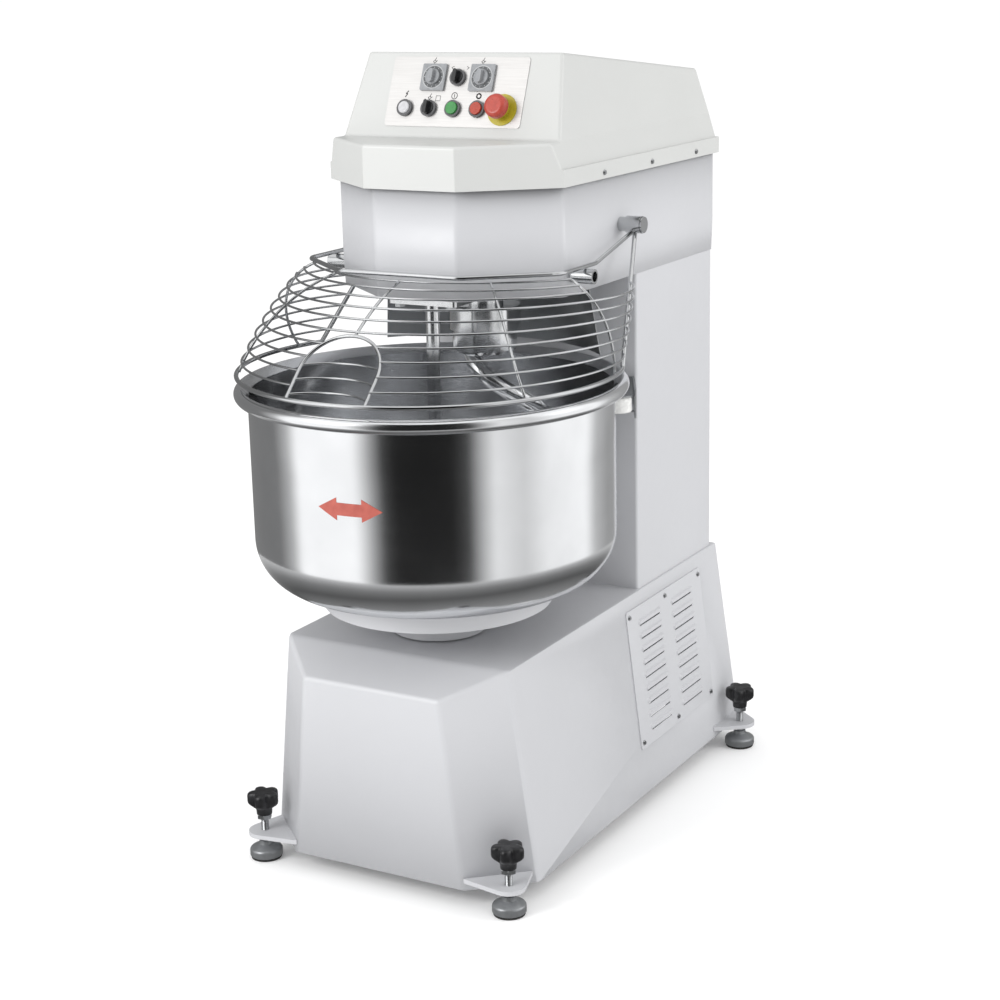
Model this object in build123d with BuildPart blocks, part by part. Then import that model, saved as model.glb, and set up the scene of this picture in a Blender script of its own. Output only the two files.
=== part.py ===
from build123d import *

import os
from math import atan2, cos, degrees, radians, sin, sqrt

os.makedirs("parts", exist_ok=True)

# Floor-standing spiral dough mixer. Millimetres, +Z up, front towards -Y, origin on the floor under the
# middle of the machine. A painted sheet-steel base carries a column and an overhanging head. The bowl
# turns on the base, the kneading spiral turns under the head, and a wire guard swings on the head.

# Driving dimensions, from the floor up
depth = 1083.0                 # front of the bowl rim to the back of the base
base_bottom_z = 32.0           # lower edge of the base skirt above the floor
base_height = 383.0
column_height = 607.0
head_height = 189.0
lip_height = 30.0
ledge_rise = 75.0              # underside of the cover lip up to the crease of the cover
crown_rise = 144.0             # crease up to the top edge of the control face
sheet = 3.0
panel_sheet = 2.0
edge_radius = 6.0

# Base
base_top_half_width = 229.0
base_foot_half_width = 276.0
base_front_top_run = 150.0     # front top edge ahead of the bowl axis
base_ridge_run = 236.0         # front ridge ahead of the bowl axis
base_ridge_drop = 41.0
base_ridge_half_width = 138.0
base_toe_run = 232.0           # front lower edge ahead of the bowl axis
base_toe_half_width = 176.0
base_corner_run = 142.0        # where the chamfer meets the side, ahead of the bowl axis
base_back_lean = 17.0
vent_width = 334.0
vent_height = 272.0
vent_centre_z = 253.0
vent_back_gap = 280.0          # centre of the side panel ahead of the back of the base
louvre_length = 100.0
louvre_rise = 3.0
louvre_pitch = 26.0
louvre_rows = 9
louvre_column_gap = 145.0

# Column and head
column_half_width = 225.0
column_depth = 338.0
bowl_to_column_gap = 13.5
head_half_width = 228.0
head_reach = 402.0             # head front face ahead of the column
head_front_half_width = 82.0
chamfer_slope = 0.8            # run of the corner chamfers for each millimetre of width
lip_side_proud = 9.0
lip_front_proud = 13.5
lip_step = 4.0                 # the cover above the lip stands this far inside it
crown_half_width = 196.0
crease_half_width = 219.0
control_face_run = 58.0        # the control face leans back by this over the crown rise
control_face_setback = 123.0   # foot of the control face behind the head front face
crown_rear_drop = 57.0
crown_rear_run = 33.0

# Bowl and its seat
rim_outer_radius = 347.0
rim_bead = 25.0
bowl_outer_radius = 323.0
bowl_wall = 2.5
bowl_depth = 353.0
bowl_corner_radius = 92.0
bowl_above_base = 97.0
dish_radius = 206.0
dish_height = 39.0
dish_thickness = 14.0
dish_hub_radius = 85.0
dish_gap = 3.0

# Drives
bowl_shaft = 60.0
spiral_shaft = 70.0
pulley_seat_step = 5.0         # the shaft is this much smaller in radius where the pulley sits
running_fit = 0.05             # radial clearance of a shaft in its bearing
moving_gap = 0.4               # clearance between pieces that move past each other
large_pulley = 300.0
small_pulley = 90.0
pulley_width = 36.0
groove_depth = 10.0
belt_width = 25.0
belt_thickness = 8.0
bowl_pulley_drop = 230.0       # underside of the bowl pulley below the base top
bowl_bearing_length = 120.0
bowl_motor_diameter = 160.0
bowl_motor_offset = 400.0
spiral_bearing_length = 130.0
spiral_motor_diameter = 200.0
spiral_motor_length = 280.0
spiral_motor_offset = 345.0
motor_shaft = 28.0
motor_shaft_length = 60.0

# Kneading tool
spiral_offset = 189.0          # spiral axis behind the bowl axis
drum_flange = 133.0
drum_flange_height = 42.0
drum = 118.0
drum_height = 44.0
drum_below_head = 43.0
spiral_bar = 30.0
spiral_radius = 107.0          # middle of the bar, from the spiral axis
spiral_floor_gap = 12.0
spiral_turns = 1.35
breaker_bar_width = 24.0
breaker_floor_gap = 16.0
breaker_setback = 9.0          # breaker bar behind the bowl axis
shield_top_radius = 288.0
shield_bottom_radius = 308.0
shield_half_angle = 47.0
shield_above_rim = 32.0

# Guard
guard_ring_rise = 33.0         # bottom ring above the middle of the bowl rim
guard_radius = 338.0
guard_lead = 4.0               # ring centre ahead of the bowl axis
guard_top_above_head = 52.0
guard_front_top_run = 98.0     # front of the top rod ahead of the bowl axis
guard_top_front_half = 120.0
guard_top_side_half = 255.0
guard_corner_run = 10.0        # side corner of the top rod behind the bowl axis
guard_knee_run = 138.0         # the side rod turns up to the pivot here, behind the bowl axis
guard_sweep_back = 248.0       # each higher hoop stands further back, up to this
guard_end_run = 120.0          # rear ends of the bottom ring behind the bowl axis
hoops = 10
full_hoops = 7                 # the higher hoops stop at the side ribs
heavy_wire = 8.0
rib_wire = 5.0
hoop_wire = 4.0
arch_wire = 6.0
arch_half_width = 77.0
arch_top = 0.47                # how far up the dome the feed arch reaches
pivot_above_head = 100.0
pivot_run = 290.0              # guard pivot behind the bowl axis
pivot_pin = 16.0
pivot_sleeve = 31.0
pivot_sleeve_length = 30.0
pivot_spacer_length = 14.0
rest_peg = 26.0
rest_peg_length = 44.0
rest_peg_run = 101.0           # rest pegs behind the bowl axis

# Guide rollers
roller = 44.0
roller_height = 26.0
roller_pin = 10.0
roller_drop = 62.0             # roller below the middle of the bowl rim
roller_angle = 44.0
bracket_height = 52.0
bracket_sheet = 4.0

# Controls
control_plate_width = 274.0
control_plate_height = 126.0
control_plate_lift = 20.0
control_plate_sheet = 1.5
device_hole = 22.5
device_bezel = 30.0
device_bezel_height = 6.0
device_cap = 22.0
device_stem = 16.0
device_barrel_length = 34.0
device_block = 36.0
lower_row = 52.0
upper_row = 108.0
device_pitch = 49.0
timer_square = 48.0
timer_body = 44.0
timer_body_depth = 55.0
timer_bezel_height = 5.0
timer_dial = 28.0
timer_dial_height = 12.0
button_travel = 3.5
emergency_travel = 5.0
emergency_head = 42.0
emergency_disc = 56.0
emergency_disc_sheet = 2.0
emergency_neck = 30.0
emergency_neck_height = 12.0

# Feet
foot_pad = 60.0
foot_rubber_height = 5.0
foot_stem = 14.0
foot_socket_z = 20.0
foot_bracket_z = 46.0
foot_bracket_thickness = 8.0
foot_nut_z = 76.0
foot_nut_height = 9.0
foot_nut_flats = 24.0
front_foot_x = 256.0
front_foot_run = 215.0         # front feet ahead of the bowl axis
rear_foot_x = 306.0
rear_foot_inset = 66.0         # rear feet ahead of the back of the base

# Screws and bolts
screw_shank = 5.0
screw_head = 10.0
screw_head_height = 3.0
screw_length = 10.0
screw_fit = 0.2
bolt_shank = 10.0
bolt_flats = 17.0
bolt_head_height = 7.0

# Levels and stations that follow from them
base_top_z = base_bottom_z + base_height
head_bottom_z = base_top_z + column_height
lip_z = head_bottom_z + head_height
crease_z = lip_z + ledge_rise
top_z = crease_z + crown_rise
bowl_y = rim_outer_radius - depth / 2
base_back_y = depth / 2
column_front_y = bowl_y + rim_outer_radius + bowl_to_column_gap
column_back_y = column_front_y + column_depth
head_front_y = column_front_y - head_reach
control_face_y = head_front_y + control_face_setback
bowl_bottom_z = base_top_z + bowl_above_base
rim_z = bowl_bottom_z + bowl_depth
spiral_y = bowl_y + spiral_offset
bowl_axis = Axis((0, bowl_y, 0), (0, 0, 1))
spiral_axis = Axis((0, spiral_y, 0), (0, 0, 1))
both_sides = (1, -1)


def keep(part, name):
    """Label a finished piece and write it to its own file."""
    part.label = name
    export_step(part, f"parts/{name}.step")


def drill(plane, points, diameter, reach):
    """Cut round holes through the current part, reach to both sides of the plane."""
    with BuildSketch(plane) as holes:
        with Locations(*points):
            Circle(diameter / 2)
    extrude(holes.sketch, amount=reach, both=True, mode=Mode.SUBTRACT)


def ring_of_points(y, radius, count):
    """Evenly spaced points of a bolt circle about the upright axis at y."""
    turns = [radians(360 * number / count) for number in range(count)]
    return [(radius * cos(turn), y + radius * sin(turn)) for turn in turns]


def section(y):
    """The upright plane across the machine at y, where sketch coordinates are X and Z."""
    return Plane.XZ.offset(-y)


# Base: a painted skirt, open below, that leans out towards the floor, with a chamfered sloping nose
base_ridge_z = base_top_z - base_ridge_drop
base_toe_y = bowl_y - base_toe_run
lean_angle = degrees(atan2(base_foot_half_width - base_top_half_width, base_height))
vent_y = base_back_y - vent_back_gap
vent_screws = [(x, y) for x in (-vent_width / 2 + 11, 0, vent_width / 2 - 11) for y in (
    -vent_height / 2 + 12, vent_height / 2 - 12)]


def side_half_width(z):
    """Half width of the leaning base side at height z."""
    share = (base_top_z - z) / base_height
    return base_top_half_width + (base_foot_half_width - base_top_half_width) * share


def side_plane(side):
    """The outer face of the base, right (1) or left (-1), at the middle of the vent panel."""
    lean = radians(lean_angle)
    place = (side * side_half_width(vent_centre_z), vent_y, vent_centre_z)
    return Plane(origin=place, x_dir=(0, side, 0), z_dir=(side * cos(lean), 0, sin(lean)))


def nose_plane(side, inset):
    """The chamfered face beside the nose, right (1) or left (-1), moved inwards by inset."""
    toe = Vector(side * base_toe_half_width, base_toe_y, base_bottom_z)
    corner = Vector(side * base_foot_half_width, bowl_y - base_corner_run, base_bottom_z)
    ridge = Vector(side * base_ridge_half_width, bowl_y - base_ridge_run, base_ridge_z)
    normal = (corner - toe).cross(ridge - toe).normalized() * side
    return Plane(origin=toe - normal * inset, z_dir=normal)


def base_block(inset):
    """The outer form of the base, or its hollow when inset is the thickness of the sheet."""
    with BuildPart() as block:
        with BuildSketch(Plane.YZ):
            with BuildLine():
                Polyline(
                    (base_back_y - inset, base_bottom_z),
                    (base_back_y - base_back_lean - inset, base_top_z - inset),
                    (bowl_y - base_front_top_run, base_top_z - inset),
                    (bowl_y - base_ridge_run + inset, base_ridge_z - inset),
                    (base_toe_y + inset, base_bottom_z),
                    close=True,
                )
            make_face()
        extrude(amount=base_foot_half_width, both=True)
        with BuildSketch(Plane.XZ):
            with BuildLine():
                Polyline(
                    (base_foot_half_width - inset, base_bottom_z),
                    (base_top_half_width - inset, base_top_z),
                    (inset - base_top_half_width, base_top_z),
                    (inset - base_foot_half_width, base_bottom_z),
                    close=True,
                )
            make_face()
        extrude(amount=depth, both=True, mode=Mode.INTERSECT)
        for side in both_sides:
            split(bisect_by=nose_plane(side, inset), keep=Keep.BOTTOM)
    return block.part


bowl_bearing_bore = bowl_shaft + 2 * running_fit
bearing_tube = bowl_shaft + 44
bowl_bearing_flange = bearing_tube + 90
bearing_flange_height = 14.0
bowl_bolts = 4
bowl_bolt_places = ring_of_points(bowl_y, bowl_bearing_flange / 2 - 20, bowl_bolts)
vent_opening_margin = 40.0
base_form = base_block(0)
base_hollow = base_block(sheet)
with BuildPart() as base_housing:
    add(base_form)
    add(base_hollow, mode=Mode.SUBTRACT)
    drill(Plane.XY.offset(base_top_z), [(0, bowl_y)], bearing_tube + 1, 2 * sheet)
    with BuildSketch(Plane.XY.offset(base_top_z)) as cable_way:
        with Locations((0, column_front_y + column_depth / 2)):
            Rectangle(column_half_width, column_depth / 2)
    extrude(cable_way.sketch, amount=2 * sheet, both=True, mode=Mode.SUBTRACT)
    for side in both_sides:
        with BuildSketch(side_plane(side)) as vent_opening:
            Rectangle(vent_width - vent_opening_margin, vent_height - vent_opening_margin)
        extrude(vent_opening.sketch, amount=2 * sheet, both=True, mode=Mode.SUBTRACT)
        drill(side_plane(side), vent_screws, screw_shank + 2 * screw_fit, 3 * sheet)
keep(base_housing.part, "base_housing")

# Side panels of the base, each pressed with two columns of louvres over slots
slot_width = 4.0
louvre_height = 12.0
with BuildPart() as vent_panels:
    for side in both_sides:
        plane = side_plane(side)
        with BuildSketch(plane) as panel_sketch:
            RectangleRounded(vent_width, vent_height, edge_radius)
        extrude(panel_sketch.sketch, amount=panel_sheet)
        with BuildSketch(plane.offset(panel_sheet)) as louvres:
            with GridLocations(louvre_column_gap, louvre_pitch, 2, louvre_rows):
                SlotOverall(louvre_length, louvre_height)
        extrude(louvres.sketch, amount=louvre_rise, taper=45)
        with BuildSketch(plane) as slots:
            with Locations((0, -louvre_height / 2)):
                with GridLocations(louvre_column_gap, louvre_pitch, 2, louvre_rows):
                    Rectangle(louvre_length - louvre_height, slot_width)
        extrude(slots.sketch, amount=2 * panel_sheet + louvre_rise, mode=Mode.SUBTRACT)
        drill(plane, vent_screws, screw_shank + 2 * screw_fit, 2 * panel_sheet)
keep(vent_panels.part, "vent_panels")

# Feet stand on plates welded to the foot of the base, one at each corner
front_foot_y = bowl_y - front_foot_run
rear_foot_y = base_back_y - rear_foot_inset
foot_places = {
    "front_right": (front_foot_x, front_foot_y),
    "front_left": (-front_foot_x, front_foot_y),
    "rear_right": (rear_foot_x, rear_foot_y),
    "rear_left": (-rear_foot_x, rear_foot_y),
}
bracket_nose = 30.0
rear_bracket_root = 62.0
rear_bracket_length = 125.0
with BuildPart() as foot_brackets:
    for side in both_sides:
        with BuildSketch(Plane.XY.offset(foot_bracket_z)):
            with BuildLine():
                Line(
                    (side * base_toe_half_width, base_toe_y),
                    (side * (base_foot_half_width - 2 * edge_radius), bowl_y - base_corner_run),
                )
            with Locations((side * front_foot_x, front_foot_y)):
                Circle(bracket_nose)
            with Locations((side * (base_toe_half_width - bracket_nose / 2), base_toe_y + bracket_nose)):
                Circle(bracket_nose / 2)
            with Locations((side * (base_foot_half_width - 2 * bracket_nose), bowl_y - base_corner_run)):
                Circle(bracket_nose / 2)
            make_hull()
        with BuildSketch(Plane.XY.offset(foot_bracket_z)):
            with Locations((side * rear_foot_x, rear_foot_y)):
                Circle(bracket_nose)
            with Locations((side * (base_foot_half_width - rear_bracket_root / 2), rear_foot_y)):
                Rectangle(rear_bracket_root, rear_bracket_length)
            make_hull()
        extrude(amount=foot_bracket_thickness)
    add(base_form, mode=Mode.SUBTRACT)
    drill(
        Plane.XY.offset(foot_bracket_z), foot_places.values(), foot_stem + 2 * moving_gap,
        2 * foot_bracket_thickness)
keep(foot_brackets.part, "foot_brackets")

# Column: a box of folded sheet, open behind under its rear cover
rear_flange = 28.0
cover_margin = 12.0
rear_cover_height = column_height - 2 * cover_margin
rear_cover_width = 2 * (column_half_width - cover_margin)
rear_screws = [
    (x * (rear_cover_width / 2 - 10), y * (rear_cover_height / 2 - 12))
    for x in both_sides for y in (1, 0, -1)
]
rear_plane = Plane(
    origin=(0, column_back_y, base_top_z + column_height / 2), x_dir=(-1, 0, 0), z_dir=(0, 1, 0))
column_y = column_front_y + column_depth / 2
with BuildPart() as column_housing:
    with BuildSketch(Plane.XY.offset(base_top_z)):
        with Locations((0, column_y)):
            RectangleRounded(2 * column_half_width, column_depth, edge_radius)
            RectangleRounded(
                2 * (column_half_width - sheet), column_depth - 2 * sheet, edge_radius / 2,
                mode=Mode.SUBTRACT)
    extrude(amount=column_height)
    with BuildSketch(rear_plane) as rear_opening:
        Rectangle(2 * (column_half_width - rear_flange), column_height - 2 * rear_flange)
    extrude(rear_opening.sketch, amount=2 * sheet, both=True, mode=Mode.SUBTRACT)
    drill(rear_plane, rear_screws, screw_shank + 2 * screw_fit, 2 * sheet)
keep(column_housing.part, "column_housing")

gland_place = (column_half_width / 2 + 30, 60 - column_height / 2)
gland_thread = 20.0
with BuildPart() as rear_cover:
    with BuildSketch(rear_plane):
        RectangleRounded(rear_cover_width, rear_cover_height, edge_radius)
    extrude(amount=panel_sheet)
    drill(rear_plane, rear_screws, screw_shank + 2 * screw_fit, 2 * panel_sheet)
    drill(rear_plane, [gland_place], gland_thread, 2 * panel_sheet)
keep(rear_cover.part, "rear_cover")

# Cable gland in the rear cover: locknut inside, hexagon and dome outside
gland_hexagon = 32.0
gland_hexagon_height = 7.0
gland_dome = 24.0
gland_dome_height = 11.0
gland_locknut = 30.0
gland_locknut_height = 6.0
gland_thread_end = 9.0
gland_bore = 11.0
dome_taper = 12.0
with BuildPart() as cable_gland:
    with BuildSketch(rear_plane.offset(panel_sheet)):
        with Locations(gland_place):
            RegularPolygon(gland_hexagon / 2, 6)
    extrude(amount=gland_hexagon_height)
    with BuildSketch(rear_plane.offset(panel_sheet + gland_hexagon_height)):
        with Locations(gland_place):
            Circle(gland_dome / 2)
    extrude(amount=gland_dome_height, taper=dome_taper)
    with BuildSketch(rear_plane.offset(panel_sheet)):
        with Locations(gland_place):
            Circle(gland_thread / 2)
    extrude(amount=-panel_sheet - gland_thread_end)
    with BuildSketch(rear_plane):
        with Locations(gland_place):
            RegularPolygon(gland_locknut / 2, 6)
    extrude(amount=-gland_locknut_height)
    drill(rear_plane, [gland_place], gland_bore, gland_hexagon)
keep(cable_gland.part, "cable_gland")


def outline(half_width, front_y, front_half_width, rear_y):
    """Plan of the head: straight sides, a narrower front face and chamfered corners between them."""
    chamfer_y = front_y + (half_width - front_half_width) * chamfer_slope
    with BuildSketch() as plan:
        with BuildLine():
            Polyline(
                (half_width, rear_y),
                (half_width, chamfer_y),
                (front_half_width, front_y),
                (-front_half_width, front_y),
                (-half_width, chamfer_y),
                (-half_width, rear_y),
                close=True,
            )
        make_face()
    return plan.sketch


# Head: an open box of folded sheet under the cover, standing out ahead of the column
head_rear_y = column_back_y + sheet
pivot_y = bowl_y + pivot_run
pivot_z = head_bottom_z + pivot_above_head
lip_half_width = head_half_width + lip_side_proud
lip_front_y = head_front_y - lip_front_proud
lip_front_half_width = head_front_half_width + lip_side_proud
lip_rear_y = head_rear_y + lip_side_proud / 2
lip_screw_lift = 11.0
lip_screw_runs = (-150.0, 43.0, 237.0)     # behind the column's front
lip_screws = [(column_front_y + run, lip_z + lip_screw_lift) for run in lip_screw_runs]
head_outer = outline(head_half_width, head_front_y, head_front_half_width, head_rear_y)
head_inner = outline(
    head_half_width - sheet, head_front_y + sheet, head_front_half_width - sheet / 2, head_rear_y - sheet)
with BuildPart() as head_housing:
    with BuildSketch(Plane.XY.offset(head_bottom_z)):
        add(head_outer)
        add(head_inner, mode=Mode.SUBTRACT)
    extrude(amount=head_height)
keep(head_housing.part, "head_housing")

# Plate that closes the head ahead of the column and carries the spiral's bearing
bearing_flange = 176.0
spiral_tube = spiral_shaft + 54
spiral_bolts = 6
spiral_bolt_places = ring_of_points(spiral_y, bearing_flange / 2 - 13, spiral_bolts)
breaker_y = bowl_y + breaker_setback
breaker_flange_size = (136.0, 72.0)
breaker_bolt_places = [(x * 52, breaker_y + y * 22) for x in both_sides for y in both_sides]
with BuildPart() as head_underside_plate:
    with BuildSketch(Plane.XY.offset(head_bottom_z)):
        add(head_inner)
        with Locations((0, column_front_y + sheet + depth / 2)):
            Rectangle(depth, depth, mode=Mode.SUBTRACT)
    extrude(amount=2 * sheet)
    drill(Plane.XY.offset(head_bottom_z), [(0, spiral_y)], spiral_tube, 3 * sheet)
    drill(Plane.XY.offset(head_bottom_z), breaker_bolt_places, bolt_shank + 2 * screw_fit, 3 * sheet)
    drill(Plane.XY.offset(head_bottom_z), spiral_bolt_places, bolt_shank + 2 * screw_fit, 3 * sheet)
keep(head_underside_plate.part, "head_underside_plate")

# Top cover: a sheet hood with a lip over the head, a level ledge and a control face that leans back
face_slope = sqrt(crown_rise ** 2 + control_face_run ** 2)
control_face = Plane(
    origin=(0, control_face_y, crease_z),
    x_dir=(1, 0, 0),
    z_dir=(0, -crown_rise / face_slope, control_face_run / face_slope),
)
hood_rear_y = lip_rear_y - lip_step


def hood(inset):
    """The outer form of the cover, or its hollow when inset is the thickness of the sheet."""
    with BuildPart() as form:
        with BuildSketch(Plane.XY.offset(lip_z)):
            add(outline(
                lip_half_width - lip_step - inset,
                lip_front_y + inset,
                lip_front_half_width - inset / 2,
                hood_rear_y - inset,
            ))
        extrude(amount=ledge_rise + crown_rise)
        with BuildSketch(Plane.XZ):
            with BuildLine():
                Polyline(
                    (lip_half_width - lip_step - inset, lip_z),
                    (lip_half_width - lip_step - inset, lip_z + lip_height),
                    (crease_half_width - inset, crease_z),
                    (crown_half_width - inset, top_z),
                    (inset - crown_half_width, top_z),
                    (inset - crease_half_width, crease_z),
                    (lip_step + inset - lip_half_width, lip_z + lip_height),
                    (lip_step + inset - lip_half_width, lip_z),
                    close=True,
                )
            make_face()
        extrude(amount=depth, both=True, mode=Mode.INTERSECT)
        with BuildSketch(Plane.YZ):
            with BuildLine():
                Polyline(
                    (lip_front_y + inset, lip_z),
                    (lip_front_y + inset, crease_z - inset),
                    (control_face_y + inset, crease_z - inset),
                    (control_face_y + control_face_run + inset, top_z - inset),
                    (hood_rear_y - crown_rear_run - inset, top_z - crown_rear_drop - inset),
                    (hood_rear_y - inset, crease_z),
                    (hood_rear_y - inset, lip_z),
                    close=True,
                )
            make_face()
        extrude(amount=lip_half_width, both=True, mode=Mode.INTERSECT)
    return form.part


device_holes = [(x * device_pitch, lower_row) for x in (-2, -1, 0, 1, 2)] + [(0, upper_row)]
timer_holes = [(-device_pitch, upper_row), (device_pitch, upper_row)]
with BuildPart() as top_cover:
    add(hood(0))
    crown_edges = top_cover.edges().filter_by(lambda edge: edge.center().Z > lip_z + lip_height / 2)
    fillet(crown_edges, edge_radius)
    with BuildSketch(Plane.XY.offset(lip_z)) as lip:
        add(outline(lip_half_width, lip_front_y, lip_front_half_width, lip_rear_y))
    extrude(lip.sketch, amount=lip_height)
    add(hood(sheet), mode=Mode.SUBTRACT)
    drill(control_face, device_holes, device_hole, 2 * sheet)
    with BuildSketch(control_face) as timer_windows:
        with Locations(*timer_holes):
            Rectangle(timer_body, timer_body)
    extrude(timer_windows.sketch, amount=2 * sheet, both=True, mode=Mode.SUBTRACT)
    drill(Plane.YZ, lip_screws, screw_shank + 2 * screw_fit, depth)
keep(top_cover.part, "top_cover")

# Stainless control plate, riveted to the face, and the devices that pass through it
with BuildPart() as control_plate:
    with BuildSketch(control_face):
        with Locations((0, control_plate_lift + control_plate_height / 2)):
            RectangleRounded(control_plate_width, control_plate_height, edge_radius)
    extrude(amount=control_plate_sheet)
    drill(control_face, device_holes, device_hole, 2 * control_plate_sheet)
    with BuildSketch(control_face) as windows:
        with Locations(*timer_holes):
            Rectangle(timer_body, timer_body)
    extrude(windows.sketch, amount=2 * control_plate_sheet, mode=Mode.SUBTRACT)
keep(control_plate.part, "control_plate")

device_face = control_face.offset(control_plate_sheet)
emergency_place = (2 * device_pitch, lower_row)
lamp_place = (-2 * device_pitch, lower_row)
bezel_places = {
    "lamp": lamp_place,
    "mode_selector": (-device_pitch, lower_row),
    "start_button": (0, lower_row),
    "stop_button": (device_pitch, lower_row),
    "direction_selector": (0, upper_row),
}
cap_recess = device_bezel_height - 0.5     # the cap's seat leaves a thin floor
lens_rise = 3.0
lens_round = 2.5
cap_round = 1.0
stem_bore = device_stem + 2 * moving_gap
barrel_width = device_hole - 2 * screw_fit


def device_body(places, front_diameter, front_height, block_depth):
    """Bezels, threaded barrels and contact blocks of panel devices, bored for their stems."""
    with BuildPart() as body:
        with BuildSketch(device_face):
            with Locations(*places):
                Circle(front_diameter / 2)
        extrude(amount=front_height)
        with BuildSketch(device_face):
            with Locations(*places):
                Circle(barrel_width / 2)
        extrude(amount=-device_barrel_length)
        with BuildSketch(device_face.offset(-device_barrel_length)):
            with Locations(*places):
                Rectangle(device_block, device_block)
        extrude(amount=-block_depth)
        drill(device_face, places, stem_bore, device_barrel_length + button_travel)
    return body.part


with BuildPart() as switch_bezels:
    add(device_body(bezel_places.values(), device_bezel, device_bezel_height, device_block))
    with BuildSketch(device_face.offset(device_bezel_height - cap_recess)) as recess:
        with Locations(*bezel_places.values()):
            Circle(device_cap / 2 + moving_gap)
    extrude(recess.sketch, amount=device_bezel_height, mode=Mode.SUBTRACT)
keep(switch_bezels.part, "switch_bezels")

# Emergency stop body: a thin round warning disc under a neck that carries the mushroom head
with BuildPart() as emergency_stop_collar:
    add(device_body([emergency_place], emergency_neck, emergency_neck_height, device_block))
    with BuildSketch(device_face) as disc:
        with Locations(emergency_place):
            Circle(emergency_disc / 2)
            Circle(emergency_neck / 2 - edge_radius, mode=Mode.SUBTRACT)
    extrude(disc.sketch, amount=emergency_disc_sheet)
keep(emergency_stop_collar.part, "emergency_stop_collar")

# Lamp lens: a shallow dome seated in its bezel
seat = device_bezel_height - cap_recess
with BuildPart() as lamp_lens:
    with BuildSketch(device_face.offset(seat)):
        with Locations(lamp_place):
            Circle(device_cap / 2)
    extrude(amount=cap_recess + lens_rise)
    lens_top = lamp_lens.faces().sort_by(Axis(origin=(0, 0, 0), direction=control_face.z_dir))[-1]
    fillet(lens_top.edges(), lens_round)
keep(lamp_lens.part, "lamp_lens")


def push_button(place, name):
    """A round cap on a stem, clear of the floor of its recess by its travel."""
    with BuildPart() as button:
        with BuildSketch(device_face.offset(seat + button_travel + moving_gap)):
            with Locations(place):
                Circle(device_cap / 2)
        extrude(amount=cap_recess)
        fillet(button.edges().sort_by(Axis(origin=(0, 0, 0), direction=control_face.z_dir))[-1], cap_round)
        with BuildSketch(device_face.offset(seat + button_travel + moving_gap)):
            with Locations(place):
                Circle(device_stem / 2)
        extrude(amount=-device_barrel_length + button_travel)
    keep(button.part, name)


push_button(bezel_places["start_button"], "start_button")
push_button(bezel_places["stop_button"], "stop_button")

selector_bar = (24.0, 7.0)
selector_bar_height = 12.0
for name in ("mode_selector", "direction_selector"):
    with BuildPart() as selector:
        with BuildSketch(device_face.offset(seat + moving_gap)):
            with Locations(bezel_places[name]):
                Circle(device_cap / 2)
        extrude(amount=cap_recess + cap_round)
        with BuildSketch(device_face.offset(device_bezel_height)):
            with Locations(bezel_places[name]):
                SlotOverall(*selector_bar, rotation=90)
        extrude(amount=selector_bar_height)
        with BuildSketch(device_face.offset(seat + moving_gap)):
            with Locations(bezel_places[name]):
                Circle(device_stem / 2)
        extrude(amount=-device_barrel_length + button_travel)
    keep(selector.part, name)

# Emergency stop: a mushroom head that latches when pressed
mushroom_height = 16.0
mushroom_low = emergency_neck_height + emergency_travel + moving_gap
with BuildPart() as emergency_stop_button:
    with BuildSketch(device_face.offset(mushroom_low)):
        with Locations(emergency_place):
            Circle(emergency_head / 2)
    extrude(amount=mushroom_height)
    fillet(
        emergency_stop_button.edges().sort_by(Axis(origin=(0, 0, 0), direction=control_face.z_dir))[-1],
        mushroom_height / 2,
    )
    with BuildSketch(device_face.offset(mushroom_low)):
        with Locations(emergency_place):
            Circle(device_stem / 2)
    extrude(amount=-device_barrel_length)
keep(emergency_stop_button.part, "emergency_stop_button")

# Process timers: square bezels with their bodies behind, and a pointer knob on each
timer_spindle = 6.0
timer_grip = (24.0, 9.0)
with BuildPart() as timer_housings:
    with BuildSketch(device_face):
        with Locations(*timer_holes):
            RectangleRounded(timer_square, timer_square, 2)
    extrude(amount=timer_bezel_height)
    with BuildSketch(device_face):
        with Locations(*timer_holes):
            Rectangle(timer_body - 2 * screw_fit, timer_body - 2 * screw_fit)
    extrude(amount=-timer_body_depth)
    drill(device_face, timer_holes, timer_spindle + 2 * moving_gap, timer_body_depth / 2)
keep(timer_housings.part, "timer_housings")

for name, place in (("timer_knob_left", timer_holes[0]), ("timer_knob_right", timer_holes[1])):
    with BuildPart() as knob:
        with BuildSketch(device_face.offset(timer_bezel_height + moving_gap)):
            with Locations(place):
                Circle(timer_dial / 2)
        extrude(amount=timer_dial_height / 3)
        with BuildSketch(device_face.offset(timer_bezel_height + moving_gap)):
            with Locations(place):
                SlotOverall(*timer_grip, rotation=90)
        extrude(amount=timer_dial_height)
        with BuildSketch(device_face.offset(timer_bezel_height + moving_gap)):
            with Locations(place):
                Circle(timer_spindle / 2)
        extrude(amount=-timer_body_depth / 3)
    keep(knob.part, name)

# Pan-head screws of the side panels, the rear cover and the lip of the top cover
screw_planes = [(rear_plane.offset(panel_sheet), rear_screws)]
for side in both_sides:
    screw_planes.append((side_plane(side).offset(panel_sheet), vent_screws))
    lip_plane = Plane(origin=(side * lip_half_width, 0, 0), x_dir=(0, 1, 0), z_dir=(side, 0, 0))
    screw_planes.append((lip_plane, [(y, side * z) for y, z in lip_screws]))
with BuildPart() as housing_screws:
    for plane, points in screw_planes:
        with BuildSketch(plane) as heads:
            with Locations(*points):
                Circle(screw_head / 2)
        extrude(heads.sketch, amount=screw_head_height, taper=25)
        with BuildSketch(plane) as shanks:
            with Locations(*points):
                Circle(screw_shank / 2)
        extrude(shanks.sketch, amount=-screw_length)
keep(housing_screws.part, "housing_screws")

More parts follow.
